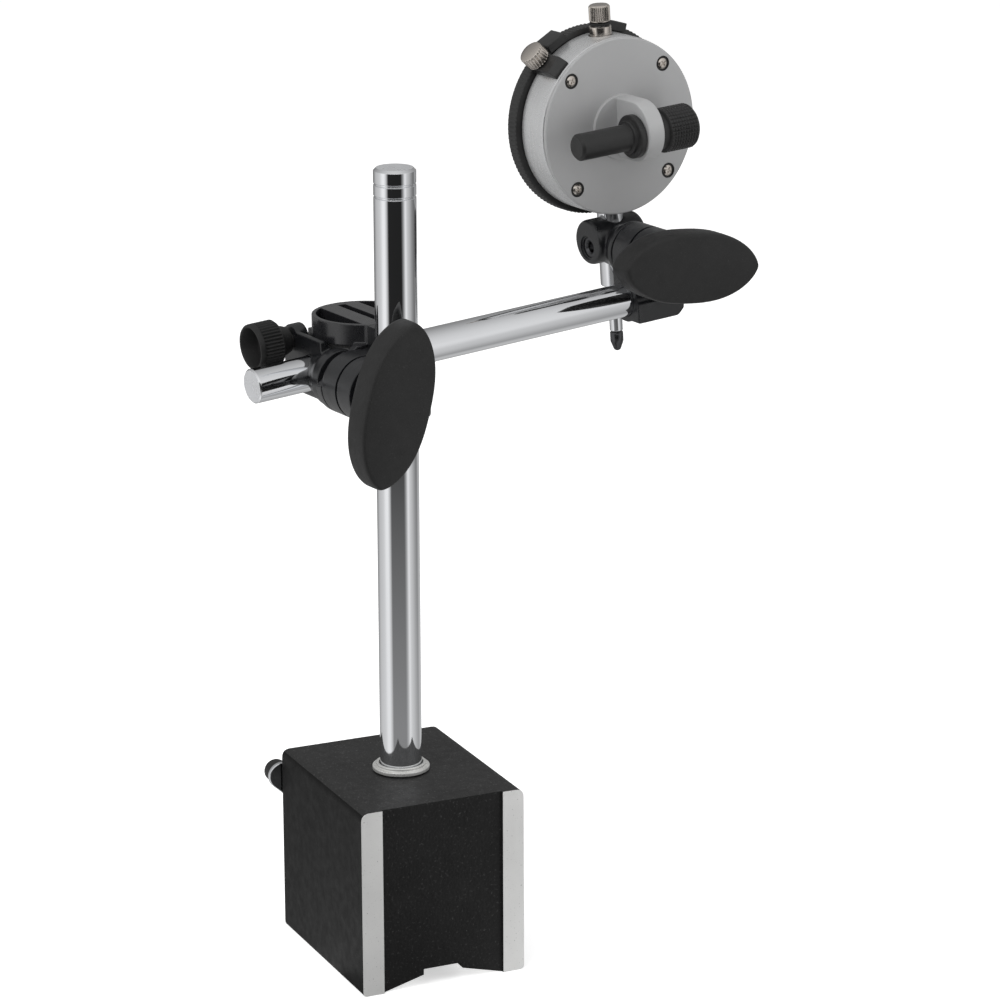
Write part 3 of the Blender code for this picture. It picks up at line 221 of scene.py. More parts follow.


# each edge colour is painted light on the edges: a painted highlight, and on the ground strips a
# painted shade
LOOKS = {
    "paint_side": surface("paint_side", grey(0.005), 0, 0.55, [(2600, 0.03), (700, 0.03)],
                          (90, 0.12), edge_radius=0.5, edge_shading_colour=grey(0.04),
                          specks=(2400, 0.66, 0.74, grey(0.04), 0.5), specular=0.14),
    # the top's paint is lighter than the sides' paint as painted light falling from above
    "paint_top_lit": surface("paint_top_lit", grey(0.016), 0, 0.52, [(2200, 0.06), (700, 0.04)],
                         (90, 0.14), edge_radius=0.5, edge_shading_colour=grey(0.06),
                         specks=(2100, 0.62, 0.72, grey(0.10), 0.45), specular=0.4),
    "paint_recess": surface("paint_recess", grey(0.006), 0, 0.50, [(1300, 0.22), (420, 0.16)],
                            (120, 0.25), edge_radius=0.3, edge_shading_colour=grey(0.03),
                            specks=(1200, 0.60, 0.74, grey(0.045), 0.4), specular=0.3),
    "ground": surface("ground", (0.80, 0.80, 0.79, 1), 0.5, 0.48, [(1500, 0.012)], (40, 0.06),
                      stretch=(1, 1, 0.06), edge_radius=0.2, edge_shading_colour=grey(0.75),
                      specks=(1800, 0.66, 0.72, grey(0.35), 0.6)),
    "chrome": surface("chrome_plate", (0.83, 0.84, 0.86, 1), 1.0, 0.055, [], (25, 0.015),
                      rough_spread=0.02, edge_radius=0.25),
    "chrome_end": surface("chrome_end", (0.80, 0.81, 0.83, 1), 0.6, 0.30, [(900, 0.004)],
                          (60, 0.04), edge_radius=0.2),
    "wing": surface("wing_plastic", grey(0.017), 0, 0.52, [(3400, 0.035), (1500, 0.02)],
                    (70, 0.10), edge_radius=0.4, edge_shading_colour=grey(0.035),
                    specks=(3000, 0.66, 0.76, grey(0.055), 0.5), specular=0.35),
    "cast": surface("cast_black", (0.009, 0.0095, 0.011, 1), 0, 0.33, [(1500, 0.012)],
                    (110, 0.15), 0.08, edge_radius=0.3, edge_shading_colour=(0.07, 0.072, 0.08, 1),
                    coat=0.25),
    "gloss": surface("gloss_black", (0.016, 0.016, 0.018, 1), 0, 0.27, [(1200, 0.006)],
                     (110, 0.15), 0.06, edge_radius=0.3, edge_shading_colour=(0.09, 0.09, 0.10, 1),
                     coat=0.4),
    "satin": surface("satin_alloy", (0.47, 0.472, 0.475, 1), 0.2, 0.50, [(2600, 0.006)],
                     (45, 0.04), edge_radius=0.3, edge_shading_colour=grey(0.65)),
    "case": surface("case_alloy", (0.70, 0.705, 0.71, 1), 0.75, 0.30, [(1800, 0.004)],
                    (50, 0.05), stretch=(1, 12, 1), edge_radius=0.25, edge_shading_colour=grey(0.8)),
    "nickel": surface("nickel", (0.66, 0.61, 0.56, 1), 1.0, 0.22, [(1500, 0.003)], (80, 0.06),
                      edge_radius=0.12, edge_shading_colour=(0.85, 0.82, 0.78, 1)),
    "zinc": surface("zinc_plate", (0.80, 0.80, 0.78, 1), 0.6, 0.30, [(900, 0.006)], (120, 0.08),
                    edge_radius=0.2, edge_shading_colour=grey(0.8)),
    "steel": surface("turned_steel", (0.42, 0.42, 0.43, 1), 1.0, 0.30, [(1200, 0.004)],
                     (90, 0.08), stretch=(1, 1, 8), edge_radius=0.12, edge_shading_colour=grey(0.6)),
    "dark_steel": surface("hardened_steel", (0.10, 0.10, 0.105, 1), 1.0, 0.32, [(1500, 0.004)],
                          (90, 0.1), edge_radius=0.1, edge_shading_colour=grey(0.3)),
    "brass": surface("brass", (0.68, 0.50, 0.24, 1), 1.0, 0.32, [(1500, 0.004)], (60, 0.08),
                     edge_radius=0.12, edge_shading_colour=(0.85, 0.70, 0.40, 1)),
    "magnet": surface("ferrite", grey(0.07), 0.3, 0.62, [(900, 0.02)], (90, 0.15)),
    "bezel": surface("bezel_black", grey(0.022), 0, 0.42, [(2200, 0.008)], (90, 0.12),
                     edge_radius=0.15, edge_shading_colour=grey(0.06)),
    "rod": surface("black_oxide", grey(0.022), 0.15, 0.42, [(1800, 0.008)], (80, 0.15),
                   edge_radius=0.2, edge_shading_colour=grey(0.09)),
    "rubber": surface("black_rubber", grey(0.012), 0, 0.65, [(1500, 0.01)], (90, 0.1)),
    "dial": surface("dial_white", (0.80, 0.80, 0.775, 1), 0, 0.5, [(3000, 0.003)], (35, 0.02),
                    edge_radius=0.05),
    "print": surface("dial_print", grey(0.012), 0, 0.55, [(3000, 0.002)], (200, 0.1)),
    "hand": surface("hand_black", grey(0.012), 0, 0.30, [(1500, 0.002)], (90, 0.1),
                    edge_radius=0.05, edge_shading_colour=grey(0.08)),
    "lens": clear_plastic(),
}

# --- mesh helpers; all sizes in millimetres ---


def mesh_of(bm, turn=AS_IS, weld=True):
    if weld:
        bmesh.ops.remove_doubles(bm, verts=bm.verts, dist=0.0004)
    bmesh.ops.recalc_face_normals(bm, faces=bm.faces)
    bm.transform(Matrix.Diagonal((MM, MM, MM, 1)) @ turn)
    mesh = bpy.data.meshes.new("shape")
    bm.to_mesh(mesh)
    bm.free()
    return mesh


def arc(cx, cy, radius, start, end, steps):
    turns = [math.radians(start + (end - start) * i / steps) for i in range(steps + 1)]
    return [(cx + radius * math.cos(t), cy + radius * math.sin(t)) for t in turns]


def soft(points, radius, steps=4, closed=False):
    """A line of points with each corner rounded; radius is one number or one per point."""
    made = []
    last = len(points) - 1
    for i, point in enumerate(points):
        p = Vector(point)
        r = radius[i] if isinstance(radius, (list, tuple)) else radius
        if r <= 0 or (not closed and i in (0, last)):
            made.append(tuple(p))
            continue
        a, b = Vector(points[i - 1]) - p, Vector(points[(i + 1) % len(points)]) - p
        angle = a.angle(b)
        if angle > math.radians(168):
            made.append(tuple(p))
            continue
        back = min(r / math.tan(angle / 2), 0.48 * a.length, 0.48 * b.length)
        pa, pb = p + a.normalized() * back, p + b.normalized() * back
        for k in range(steps + 1):
            t = k / steps
            made.append(tuple(pa * (1 - t) ** 2 + p * 2 * t * (1 - t) + pb * t * t))
    return made


def lathe(profile, turn=AS_IS, sides=SMALL, ring=False, shape=None):
    """A turned shape from (radius, height) points; shape(angle, radius, height) may alter a radius."""
    bm = bmesh.new()
    rows = []
    for r, h in profile:
        if r < 1e-5:
            rows.append([bm.verts.new((0, 0, h))])
            continue
        row = []
        for i in range(sides):
            t = 2 * math.pi * i / sides
            rr = shape(t, r, h) if shape else r
            row.append(bm.verts.new((rr * math.cos(t), rr * math.sin(t), h)))
        rows.append(row)
    pairs = list(zip(rows, rows[1:]))
    if ring:
        pairs.append((rows[-1], rows[0]))
    for a, b in pairs:
        for i in range(sides):
            j = (i + 1) % sides
            corners = [a[i % len(a)], a[j % len(a)], b[j % len(b)], b[i % len(b)]]
            corners = list(dict.fromkeys(corners))
            if len(corners) > 2:
                bm.faces.new(corners)
    return mesh_of(bm, turn)


def bar(radius, low, high, at=(0, 0, 0), turn=AS_IS, sides=SMALL, edge=0.0, end_radius=None):
    """A round bar along the turned Z, with rounded edges."""
    end_radius = radius if end_radius is None else end_radius
    profile = [(0, low), (radius, low), (end_radius, high), (0, high)]
    if edge:
        profile = soft(profile, [0, edge, edge, 0])
    return lathe(profile, Matrix.Translation(at) @ turn, sides)


def block(low, high):
    bm = bmesh.new()
    size = [b - a for a, b in zip(low, high)]
    middle = [(a + b) / 2 for a, b in zip(low, high)]
    bmesh.ops.create_cube(bm, size=1.0, matrix=Matrix.LocRotScale(middle, None, size))
    return mesh_of(bm)


def slab(loops, low, high, turn=AS_IS, edge=0.0, steps=3):
    """Flat outlines, the first round the others, filled from height low to high."""
    curve = bpy.data.curves.new("slab", "CURVE")
    curve.dimensions = "2D"
    curve.fill_mode = "BOTH"
    curve.extrude = (high - low) / 2 - edge
    curve.bevel_depth = edge
    curve.bevel_resolution = steps
    curve.offset = -edge
    for loop in loops:
        spline = curve.splines.new("POLY")
        spline.points.add(len(loop) - 1)
        for point, (x, y) in zip(spline.points, loop):
            point.co = (x, y, 0, 1)
        spline.use_cyclic_u = True
    source = bpy.data.objects.new("slab_curve", curve)
    SCENE.collection.objects.link(source)
    bpy.context.view_layer.update()
    made = bpy.data.meshes.new_from_object(
        source.evaluated_get(bpy.context.evaluated_depsgraph_get()))
    bpy.data.objects.remove(source, do_unlink=True)
    made.materials.clear()
    bm = bmesh.new()
    bm.from_mesh(made)
    bmesh.ops.translate(bm, verts=bm.verts, vec=(0, 0, (low + high) / 2))
    bpy.data.meshes.remove(made)
    return mesh_of(bm, turn)


def merged(*meshes):
    """Several meshes in one, left overlapping."""
    bm = bmesh.new()
    for mesh in meshes:
        bm.from_mesh(mesh)
        bpy.data.meshes.remove(mesh)
    made = bpy.data.meshes.new("merged")
    bm.to_mesh(made)
    bm.free()
    return made


def evaluated(obj):
    """The object's mesh with its modifiers applied."""
    bpy.context.view_layer.update()
    graph = bpy.context.evaluated_depsgraph_get()
    made = bpy.data.meshes.new_from_object(obj.evaluated_get(graph))
    bpy.data.objects.remove(obj, do_unlink=True)
    return made


def helper(mesh):
    obj = bpy.data.objects.new("helper", mesh)
    SCENE.collection.objects.link(obj)
    return obj


def carved(mesh, cutters, solver="EXACT", operation="DIFFERENCE"):
    """The mesh less its cutters, or joined with them."""
    obj = helper(mesh)
    tools = [helper(cutter) for cutter in cutters]
    for tool in tools:
        modifier = obj.modifiers.new("carve", "BOOLEAN")
        modifier.operation = operation
        modifier.solver = solver
        modifier.object = tool
    made = evaluated(obj)
    for tool in tools:
        bpy.data.objects.remove(tool, do_unlink=True)
    return made


def cast(blanks, voxel=VOXEL, passes=CAST_PASSES, keep=0.4):
    """Overlapping blanks grown into one body with rounded edges and filleted joins."""
    obj = helper(merged(*blanks))
    remesh = obj.modifiers.new("grow", "REMESH")
    remesh.mode = "VOXEL"
    remesh.voxel_size = voxel * MM
    relax = obj.modifiers.new("relax", "SMOOTH")
    relax.factor = 0.5
    relax.iterations = passes
    thin = obj.modifiers.new("thin", "DECIMATE")
    thin.ratio = keep
    return evaluated(obj)


def put(name, mesh, body, look, at, stands_for=(), angle=32, moved=None):
    """A finished piece in its frame, riding on a body; moved shifts it in millimetres."""
    obj = bpy.data.objects.new(name, mesh)
    mesh.name = name
    SCENE.collection.objects.link(obj)
    place = at @ Matrix.Translation(Vector(moved) * MM) if moved else at
    obj.matrix_world = place
    mesh.materials.clear()
    mesh.materials.append(LOOKS[look])
    mesh.polygons.foreach_set("use_smooth", [True] * len(mesh.polygons))
    mesh.set_sharp_from_angle(angle=math.radians(angle))
    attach(obj, body)
    if stands_for:
        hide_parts(*stands_for)
    return obj


def paint_faces(obj, look, test):
    """Gives a second look to the faces whose centre and normal pass the test."""
    obj.data.materials.append(LOOKS[look])
    index = len(obj.data.materials) - 1
    for face in obj.data.polygons:
        if test(face.center / MM, face.normal):
            face.material_index = index


# --- magnetic base ---

BASE_W, BASE_L, BASE_H, STRIP_W, RECESS = 50, 60, 55, 6.5, 0.8
NOTCH_HALF, NOTCH_DEPTH, NOTCH_ROOF = 6, 3.3, 5     # the V groove under the base
TOP_EDGE_R, FOOT_EDGE_R = 2.5, 1.5
COVER_R, COVER_T, COVER_GAP = 16.5, 3, 0.3
SWITCH_Z = LEVER.translation.z / MM
POST_R, POST_TOP, POST_RINGS, RING_HALF = 6, 231, (4.5, 8.0), 0.36
HUB_R, LEVER_TIP_R, LEVER_REACH, LEVER_ANGLE = 7, 4, 34.5, 144
PLATE_GAP, PLATE_T, GRIP_T = 0.8, 1.5, 5


def build_base():
    panel = BASE_W / 2 - STRIP_W
    half = [(BASE_W / 2, BASE_H, TOP_EDGE_R), (BASE_W / 2, 0, FOOT_EDGE_R), (panel, 0, 0.3),
            (NOTCH_HALF, NOTCH_DEPTH, 0.2), (NOTCH_HALF, NOTCH_ROOF, 0.2)]
    ring = half + [(-x, z, r) for x, z, r in reversed(half)]
    section = soft([(x, z) for x, z, _ in ring], [r for _, _, r in ring], 6, True)
    body = slab([section], -BASE_L / 2, BASE_L / 2, FACING)
    recess = block((-panel, -BASE_L, -5), (panel, -BASE_L / 2 + RECESS, BASE_H + 5))
    seat = bar(COVER_R + COVER_GAP, BASE_L / 2 - COVER_T - COVER_GAP, BASE_L, (0, 0, SWITCH_Z),
               ALONG_Y, FINE)
    body = put("base_body", carved(body, [recess, seat]), "magnetic_base", "paint_side", WORLD,
               ["base_left_pole", "base_right_pole", "base_spacer"])
    # faces that point up take the lighter top paint: painted light from above
    paint_faces(body, "paint_top_lit", lambda c, n: n.z > 0.7)
    paint_faces(body, "paint_recess", lambda c, n: n.y < -0.7 and abs(c.x) < panel)
    paint_faces(body, "ground", lambda c, n: n.y < -0.5 and abs(c.x) > panel)
    paint_faces(body, "ground", lambda c, n: n.z < -0.7 and c.z < 4)
    collar = soft([(7.2, 2.1), (7.2, 1.2), (8.25, 1.2), (8.25, 0), (6.3, 0), (6.3, 2.1)],
                  0.3, 4, True)
    put("post_foot_washer", lathe(collar, sides=FINE, ring=True), "magnetic_base", "zinc",
        WORLD, ["post_washer"], moved=(0, 0, BASE_H + 0.3))


def lever_outline(inset):
    """A round hub and a round tip joined by tangents, drawn in by the inset."""
    reach, way = LEVER_REACH - LEVER_TIP_R, LEVER_ANGLE
    lean = math.degrees(math.acos((HUB_R - LEVER_TIP_R) / reach))
    tx, tz = reach * math.cos(math.radians(way)), reach * math.sin(math.radians(way))
    return [*arc(tx, tz, LEVER_TIP_R - inset, way - lean, way + lean, 18),
            *arc(0, 0, HUB_R - inset, way + lean, way + 360 - lean, 40)]


def build_switch():
    cover = soft([(0, 0), (COVER_R, 0), (COVER_R, -COVER_T), (0, -COVER_T)], [0, 0.3, 0, 0])
    ring = [(13.6, 0.2), (13.6, -0.25), (13.0, -0.25), (13.0, 0.2)]
    lid = carved(lathe(cover, ALONG_Y, FINE), [lathe(ring, ALONG_Y, FINE, True),
                                             bar(4.3, -6, 6, turn=ALONG_Y)])
    put("magnet_cover", lid, "magnetic_base", "zinc",
        LEVER @ Matrix.Translation((0, BASE_L / 2 * MM, 0)), ["rear_cover"])
    back = BASE_L / 2 + PLATE_GAP
    put("lever_plate", slab([lever_outline(0)], -back - PLATE_T, -back, FACING, 0.25),
        "magnet_switch", "chrome", LEVER, ["switch_lever_plate"])
    grip_back = back + PLATE_T + 0.3
    grip = slab([lever_outline(0.6)], -grip_back - GRIP_T, -grip_back, FACING, 1.1, 4)
    dish = slab([soft([(-22, 15.5), (-19, 11.5), (-7, 2.6), (-4.4, 6.2)], 1.2, 4, True)],
                -grip_back - 9, -grip_back - 4.2, FACING, 0.0)
    hub = bar(2.6, grip_back + 4.4, grip_back + 9, turn=ALONG_Y)
    put("lever_grip", carved(grip, [dish, hub]), "magnet_switch", "wing", LEVER, ["switch_lever_grip"])
    screw = soft([(0, 0.9), (2.2, 0.6), (2.2, 0), (0, 0)], [0, 0.4, 0, 0])
    slot_cut = block((-3, -0.3, 0.5), (3, 0.3, 2))
    put("lever_screw", carved(lathe(screw), [slot_cut]), "magnet_switch", "steel",
        LEVER @ Matrix.Translation((0, (grip_back + 4.4) * MM, 0)) @ ALONG_Y)


def build_post():
    groove = [(5.95, 0.35), (5.72, 0.2), (5.72, -0.2), (5.95, -0.35)]
    profile = [(0, POST_TOP), (5.2, POST_TOP), (POST_R, POST_TOP - 0.8)]
    for down in POST_RINGS:
        middle = POST_TOP - down
        profile += [(POST_R, middle + RING_HALF)] + [(r, middle + h) for r, h in groove]
        profile += [(POST_R, middle - RING_HALF)]
    profile += [(POST_R, BASE_H + 0.6), (0, BASE_H + 0.6)]
    post = put("post_bar", lathe(profile, sides=128), "post", "chrome", WORLD, ["post"], 25)
    paint_faces(post, "chrome_end", lambda c, n: n.z > 0.9)


# --- wings ---

WING_L, WING_W, WING_T, WING_DOME, WING_SIDES = 47.6, 21.4, 9.2, 0.9, 120
WING_FULL, WING_POINTED = 0.80, 1.30            # exponents that draw the oval's ends to a point
MAIN_WING_BACK, END_WING_BACK, MAIN_WING_DROP = 10.6, 13.6, 1.4
MAIN_WING_LEAN, END_WING_LEAN = math.radians(15 - 90), math.radians(9)
# inset, share of the thickness and share of the outline, up the back and side of a wing
WING_ROWS = [(1.4, 0.0, 0.12), (1.4, 0.0, 0.4), (1.4, 0.0, 0.7), (1.4, 0.0, 0.9), (1.4, 0.0, 1.0),
             (0.7, 0.03, 1.0), (0.2, 0.10, 1.0), (0.0, 0.22, 1.0), (0.0, 0.5, 1.0),
             (0.05, 0.8, 1.0), (0.25, 0.93, 1.0), (0.6, 0.985, 1.0), (0.9, 1.0, 1.0)]
DOME_SHARES = (0.97, 0.9, 0.8, 0.65, 0.45, 0.25, 0.1)


def wing_mesh(neck_end):
    """A leaf-shaped knob with a domed face, a crease round it and a neck flaring into its back."""
    a, b, count = WING_L / 2, WING_W / 2, WING_SIDES
    bm = bmesh.new()
    rows = []

    def ring(inset, height, share=1.0):
        row = []
        for i in range(count):
            t = 2 * math.pi * i / count
            c, s = math.cos(t), math.sin(t)
            x = (a - inset) * share * math.copysign(abs(c) ** WING_FULL, c)
            y = (b - inset) * share * math.copysign(abs(s) ** WING_POINTED, s)
            row.append(bm.verts.new((x, y, height)))
        rows.append(row)

    for inset, height, share in WING_ROWS:
        ring(inset, height * WING_T, share)
    for share in DOME_SHARES:
        ring(WING_DOME, WING_T + WING_DOME * (1 - share * share), share)
    for lower, upper in zip(rows, rows[1:]):
        for i in range(count):
            j = (i + 1) % count
            bm.faces.new((lower[i], lower[j], upper[j], upper[i]))
    bm.faces.new(rows[0])
    bm.faces.new(rows[-1])
    knob = mesh_of(bm, FACING)
    neck = [(0, neck_end), (5.4, neck_end), (5.8, neck_end + 0.4), (6.2, neck_end * 0.55),
            (7.6, neck_end * 0.2), (9.6, 1.0), (0, 1.0)]
    return cast([knob, lathe(soft(neck, 0.5), FACING)], 0.28, 4, 0.35)



def build_wing(name, body, at, lean, back, node, drop=0.0):
    """The wing lies in front of its clamp; its neck runs back to the washer."""
    neck_end = -(back - EAR_FRONT - WASHER_ROOM)
    turned = at @ Matrix.Translation((0, -back * MM, 0)) @ Matrix.Rotation(lean, 4, "Y")
    put(name, wing_mesh(neck_end), body, "wing", turned, [node], 60, moved=(-drop, 0, 0))


# --- clamps ---

BOLT_X = (CLAMP.inverted() @ bolt).x / MM
EAR_R, EAR_FRONT, EAR_REAR = 9.2, 7.4, 8.0
WASHER_ROOM = 1.8           # the washer and the clearance between an ear and its wing
WASHER_SEAT = EAR_FRONT - 0.5
POST_BORE_R, ARM_BORE_R, BOLT_BORE_R, SEAT_R = 6.25, 5.12, 3.3, 6.6
FAR = 30                    # past the end of any clamp
RING_R, RING_HALF_H, SLIT = 9.5, 9.3, 1.0


def build_post_clamp():
    ring = bar(RING_R, -RING_HALF_H, RING_HALF_H, sides=FINE)
    ear_loop = [*arc(BOLT_X, 0, EAR_R, 90, 270, 40), (-4, -EAR_R), (-4, EAR_R)]
    ears = slab([ear_loop], -EAR_REAR, EAR_FRONT, FACING)
    blank = cast([ring, ears])
    cutters = [bar(POST_BORE_R, -FAR, FAR, sides=FINE),
               block((-FAR - 10, -SLIT / 2, -FAR), (0, SLIT / 2, FAR)),
               bar(BOLT_BORE_R, -FAR, FAR, (BOLT_X, 0, 0), ALONG_Y),
               block((-FAR, EAR_REAR, -FAR), (FAR, FAR, FAR)),
               bar(SEAT_R, -FAR + 10, -WASHER_SEAT, (BOLT_X, 0, 0), ALONG_Y)]
    rib = block((BAR_X, 2, 1), (BAR_X + BAR_W, EAR_REAR, TRAY_TOP))
    put("clamp_block", carved(blank, cutters), "post_clamp", "cast", CLAMP, ["post_clamp_block"])
    put("clamp_rib", carved(rib, [bar(POST_BORE_R, -FAR, FAR, sides=FINE)]), "post_clamp", "cast",
        CLAMP)
    washer(CLAMP, "post_clamp", "main_bolt_washer", (BOLT_X, -WASHER_SEAT - 0.1, 0))


def washer(at, body, node, place):
    ring = soft([(5.6, 1.5), (5.6, 0), (BOLT_BORE_R, 0), (BOLT_BORE_R, 1.5)], 0.25, 3, True)
    put(node + "_ring", lathe(ring, FACING, ring=True), body, "zinc", at, [node], moved=place)


TRAY_R, TRAY_X, TRAY_Y, TRAY_LOW, TRAY_TOP, TRAY_RIM, TRAY_FLOOR = 15, 3, 22.5, 9.0, 15.4, 1.2, 10.6
BAR_X, BAR_W, BAR_GAP, BAR_2_W = -4.5, 5.6, 2.7, 4.5
BARS_RIGHT = BAR_X + BAR_W + BAR_GAP + BAR_2_W


def chord_angle(radius, offset):
    return math.degrees(math.acos(offset / radius))


def tray_angles(radius):
    """Where the two bars' outer sides meet a circle round the tray's middle."""
    return chord_angle(radius, TRAY_X - BAR_X), chord_angle(radius, BARS_RIGHT - TRAY_X)


def build_carrier():
    web_loop = [*arc(BOLT_X, 0, EAR_R, 180, 360, 40), (BOLT_X + EAR_R, TRAY_LOW + 1),
                (BOLT_X + 3, TRAY_LOW + 1)]
    web = slab([web_loop], -10.9, -8.3, FACING)
    left, right = tray_angles(TRAY_R)
    drum_loop = [*arc(TRAY_X, TRAY_Y, TRAY_R, -right, 180 + left, 90), (BAR_X, 8.4),
                 (BARS_RIGHT, 8.4)]
    drum = slab([drum_loop], TRAY_LOW, TRAY_TOP)
    lug = block((BOLT_X + 2.4, 30.6, TRAY_LOW - 1.5), (BOLT_X + 6.9, 35.3, TRAY_LOW + 1))
    blank = cast([web, drum, lug], 0.24, 3, 0.5)
    inner = TRAY_R - TRAY_RIM
    left, right = tray_angles(inner)
    pockets = [soft(arc(TRAY_X, TRAY_Y, inner, 180 - left, 180 + left, 40), 0.8, 3, True),
               soft(arc(TRAY_X, TRAY_Y, inner, -right, right, 40), 0.8, 3, True)]
    cutters = [slab([loop], TRAY_FLOOR, TRAY_FLOOR + 20) for loop in pockets]
    cutters.append(block((BAR_X + BAR_W, 0, TRAY_FLOOR),
                         (BAR_X + BAR_W + BAR_GAP, TRAY_Y + TRAY_R - 3, FAR)))
    cutters.append(bar(BOLT_BORE_R, 0, FAR, (BOLT_X, 0, 0), ALONG_Y))
    put("adjust_tray", carved(blank, cutters), "carrier", "gloss", CLAMP, ["fine_adjust_carrier"])


HEAD_LEFT, HEAD_RIGHT, HEAD_LOW, HEAD_TOP, HEAD_CREST = -3.6, 10.0, -8.0, 6.6, 10.8
HEAD_REAR, HEAD_FRONT, FACE_Y = 14.5, 7.5, -12.8
SCREW_AXIS = (0, 10, 8)     # the fine screw, from the arm's axis
KNOB_R, KNOB_START, KNOB_END = 6.7, -8.6, -16.6


def head_outline():
    left, top, crest = HEAD_LEFT, HEAD_TOP, HEAD_CREST
    points = [(left, HEAD_LOW), (HEAD_RIGHT, HEAD_LOW), (HEAD_RIGHT, top), (left + 4.5, top + 0.2),
              (left + 2.0, crest - 1), (left + 1.3, crest), (left, crest - 0.3)]
    return soft(points, [2.6, 3, 3, 1.5, 1, 0.6, 0.6], 6, True)


def build_head():
    block_part = slab([head_outline()], -HEAD_REAR, HEAD_FRONT, FACING)
    barrel = lathe([(0, FACE_Y), (8.6, FACE_Y), (8.6, -9.5), (7.4, -6.5), (6.4, -2), (0, -2)],
                   ALONG_Y, FINE)
    boss = bar(4.2, -3.5, 0.5, SCREW_AXIS, ALONG_X)
    blank = cast([block_part, barrel, boss], 0.26, 9)
    cutters = [bar(ARM_BORE_R, -FAR - 20, FAR + 20, turn=ALONG_X, sides=FINE),
               bar(1.8, -FAR, FAR, SCREW_AXIS, ALONG_X, 32),
               block((-FAR, -FAR - 10, -FAR), (FAR, FACE_Y + 0.05, FAR))]
    put("arm_head_casting", carved(blank, cutters), "arm_head", "cast", ARM,
        ["arm_head", "arm_head_plug"])


def ribs(count, depth, share, low, high, outside):
    """A radius rule: rounded ribs between two heights, on what lies outside a radius."""
    def rule(angle, radius, height):
        if not low < height < high or radius <= outside:
            return radius
        wave = 0.5 + 0.5 * math.cos(angle * count)
        return radius - depth * (1 - wave ** share)
    return rule


def build_fine_knob():
    r, start, end = KNOB_R, KNOB_START, KNOB_END
    grip = ribs(40, 0.5, 0.6, end + 1.5, start - 0.6, r - 0.4)
    rows = [end + 1.55 + i * (start - 0.65 - end - 1.55) / 8 for i in range(9)]
    profile = [(0, start - 2.2), (3.2, start - 2.2), (5.0, start - 2.6), (5.5, start - 3.4),
               (5.6, end + 0.4), (5.9, end), (6.3, end), (r - 0.1, end + 0.4), (r, end + 1.0),
               (r, end + 1.5)]
    profile += [(r, h) for h in rows]
    profile += [(r, start - 0.6), (r - 0.5, start), (5.0, start + 0.2), (4.8, start + 0.6),
                (4.2, start + 2.6), (3.6, -4.6), (1.7, -4.6), (1.7, start), (0, start)]
    put("fine_knob_cup", lathe(profile, ALONG_X, 240, shape=grip), "fine_screw", "wing", FINE_AXIS,
        ["fine_adjust_knob"], 40)
    tip = soft([(0, -9.8), (1.5, -9.8), (1.5, 1.8), (0, 1.8)], 0.3)
    put("fine_screw_bar", lathe(tip, ALONG_X, 32), "fine_screw", "steel", FINE_AXIS,
        ["fine_adjust_screw"])


ARM_R, ARM_CHAMFER = 5, 0.4


def build_arm():
    left, right = span_along_arm("arm")
    end_r = ARM_R - ARM_CHAMFER
    profile = [(0, right), (end_r, right), (ARM_R, right - ARM_CHAMFER),
               (ARM_R, left + ARM_CHAMFER), (end_r, left), (0, left)]
    arm = put("arm_bar", lathe(profile, ALONG_X, 128), "arm", "chrome", ARM, ["arm"], 25)
    paint_faces(arm, "chrome_end", lambda c, n: abs(n.x) > 0.9)


def span_along_arm(node):
    """Where a node along the arm starts and ends, in millimetres from the arm frame."""
    turn_back = ARM.inverted()
    spots = [(turn_back @ vertex.co).x / MM for vertex in frame["nodes"][node].data.vertices]
    return min(spots), max(spots)


END_BOLT_Z = (END.inverted() @ end_bolt).z / MM
STEM_R, STEM_TOP, STEM_END = 4, -24.3, -50
BLOCK_LEFT, BLOCK_RIGHT, BLOCK_LOW, BLOCK_R, END_EAR_R = -10.2, 6.4, -6.2, 6.7, 8.5


def build_end_clamp():
    barrel = bar(BLOCK_R, BLOCK_LEFT, BLOCK_RIGHT, turn=ALONG_X, sides=FINE)
    foot_loop = [(BLOCK_LEFT, 0), (BLOCK_LEFT, BLOCK_LOW), (BLOCK_RIGHT - 2.2, BLOCK_LOW),
                 (BLOCK_RIGHT, BLOCK_LOW + 2), (BLOCK_RIGHT, 0)]
    foot = slab([soft(foot_loop, [0, 0.8, 2, 1.5, 0], 4, True)], -1.5, 7.2, FACING)
    ear_loop = [*arc(0, END_BOLT_Z, END_EAR_R, 0, 180, 40), (-END_EAR_R, 3), (END_EAR_R, 3)]
    ears = slab([ear_loop], -EAR_REAR, EAR_FRONT, FACING)
    blank = cast([barrel, foot, ears])
    wide, rear = FAR + 2, FAR + 4       # no two cutters share an end plane
    cutters = [bar(ARM_BORE_R, -FAR, FAR, turn=ALONG_X, sides=FINE),
               block((-wide, -SLIT / 2, 0), (wide, SLIT / 2, 41)),
               bar(BOLT_BORE_R, -28, 28, (0, 0, END_BOLT_Z), ALONG_Y),
               bar(SEAT_R, -FAR + 10, -WASHER_SEAT, (0, 0, END_BOLT_Z), ALONG_Y),
               block((-rear, EAR_REAR, -rear), (rear, rear, rear))]
    put("end_clamp_casting", carved(blank, cutters), "end_clamp", "cast", END, ["end_clamp_block"])
    washer(END, "end_clamp", "end_bolt_washer", (0, -WASHER_SEAT - 0.1, END_BOLT_Z))


SOCKET_R, SOCKET_HALF, SOCKET_RISE = 6.8, 8.8, 1.6
SLEEVE_START = -11.9


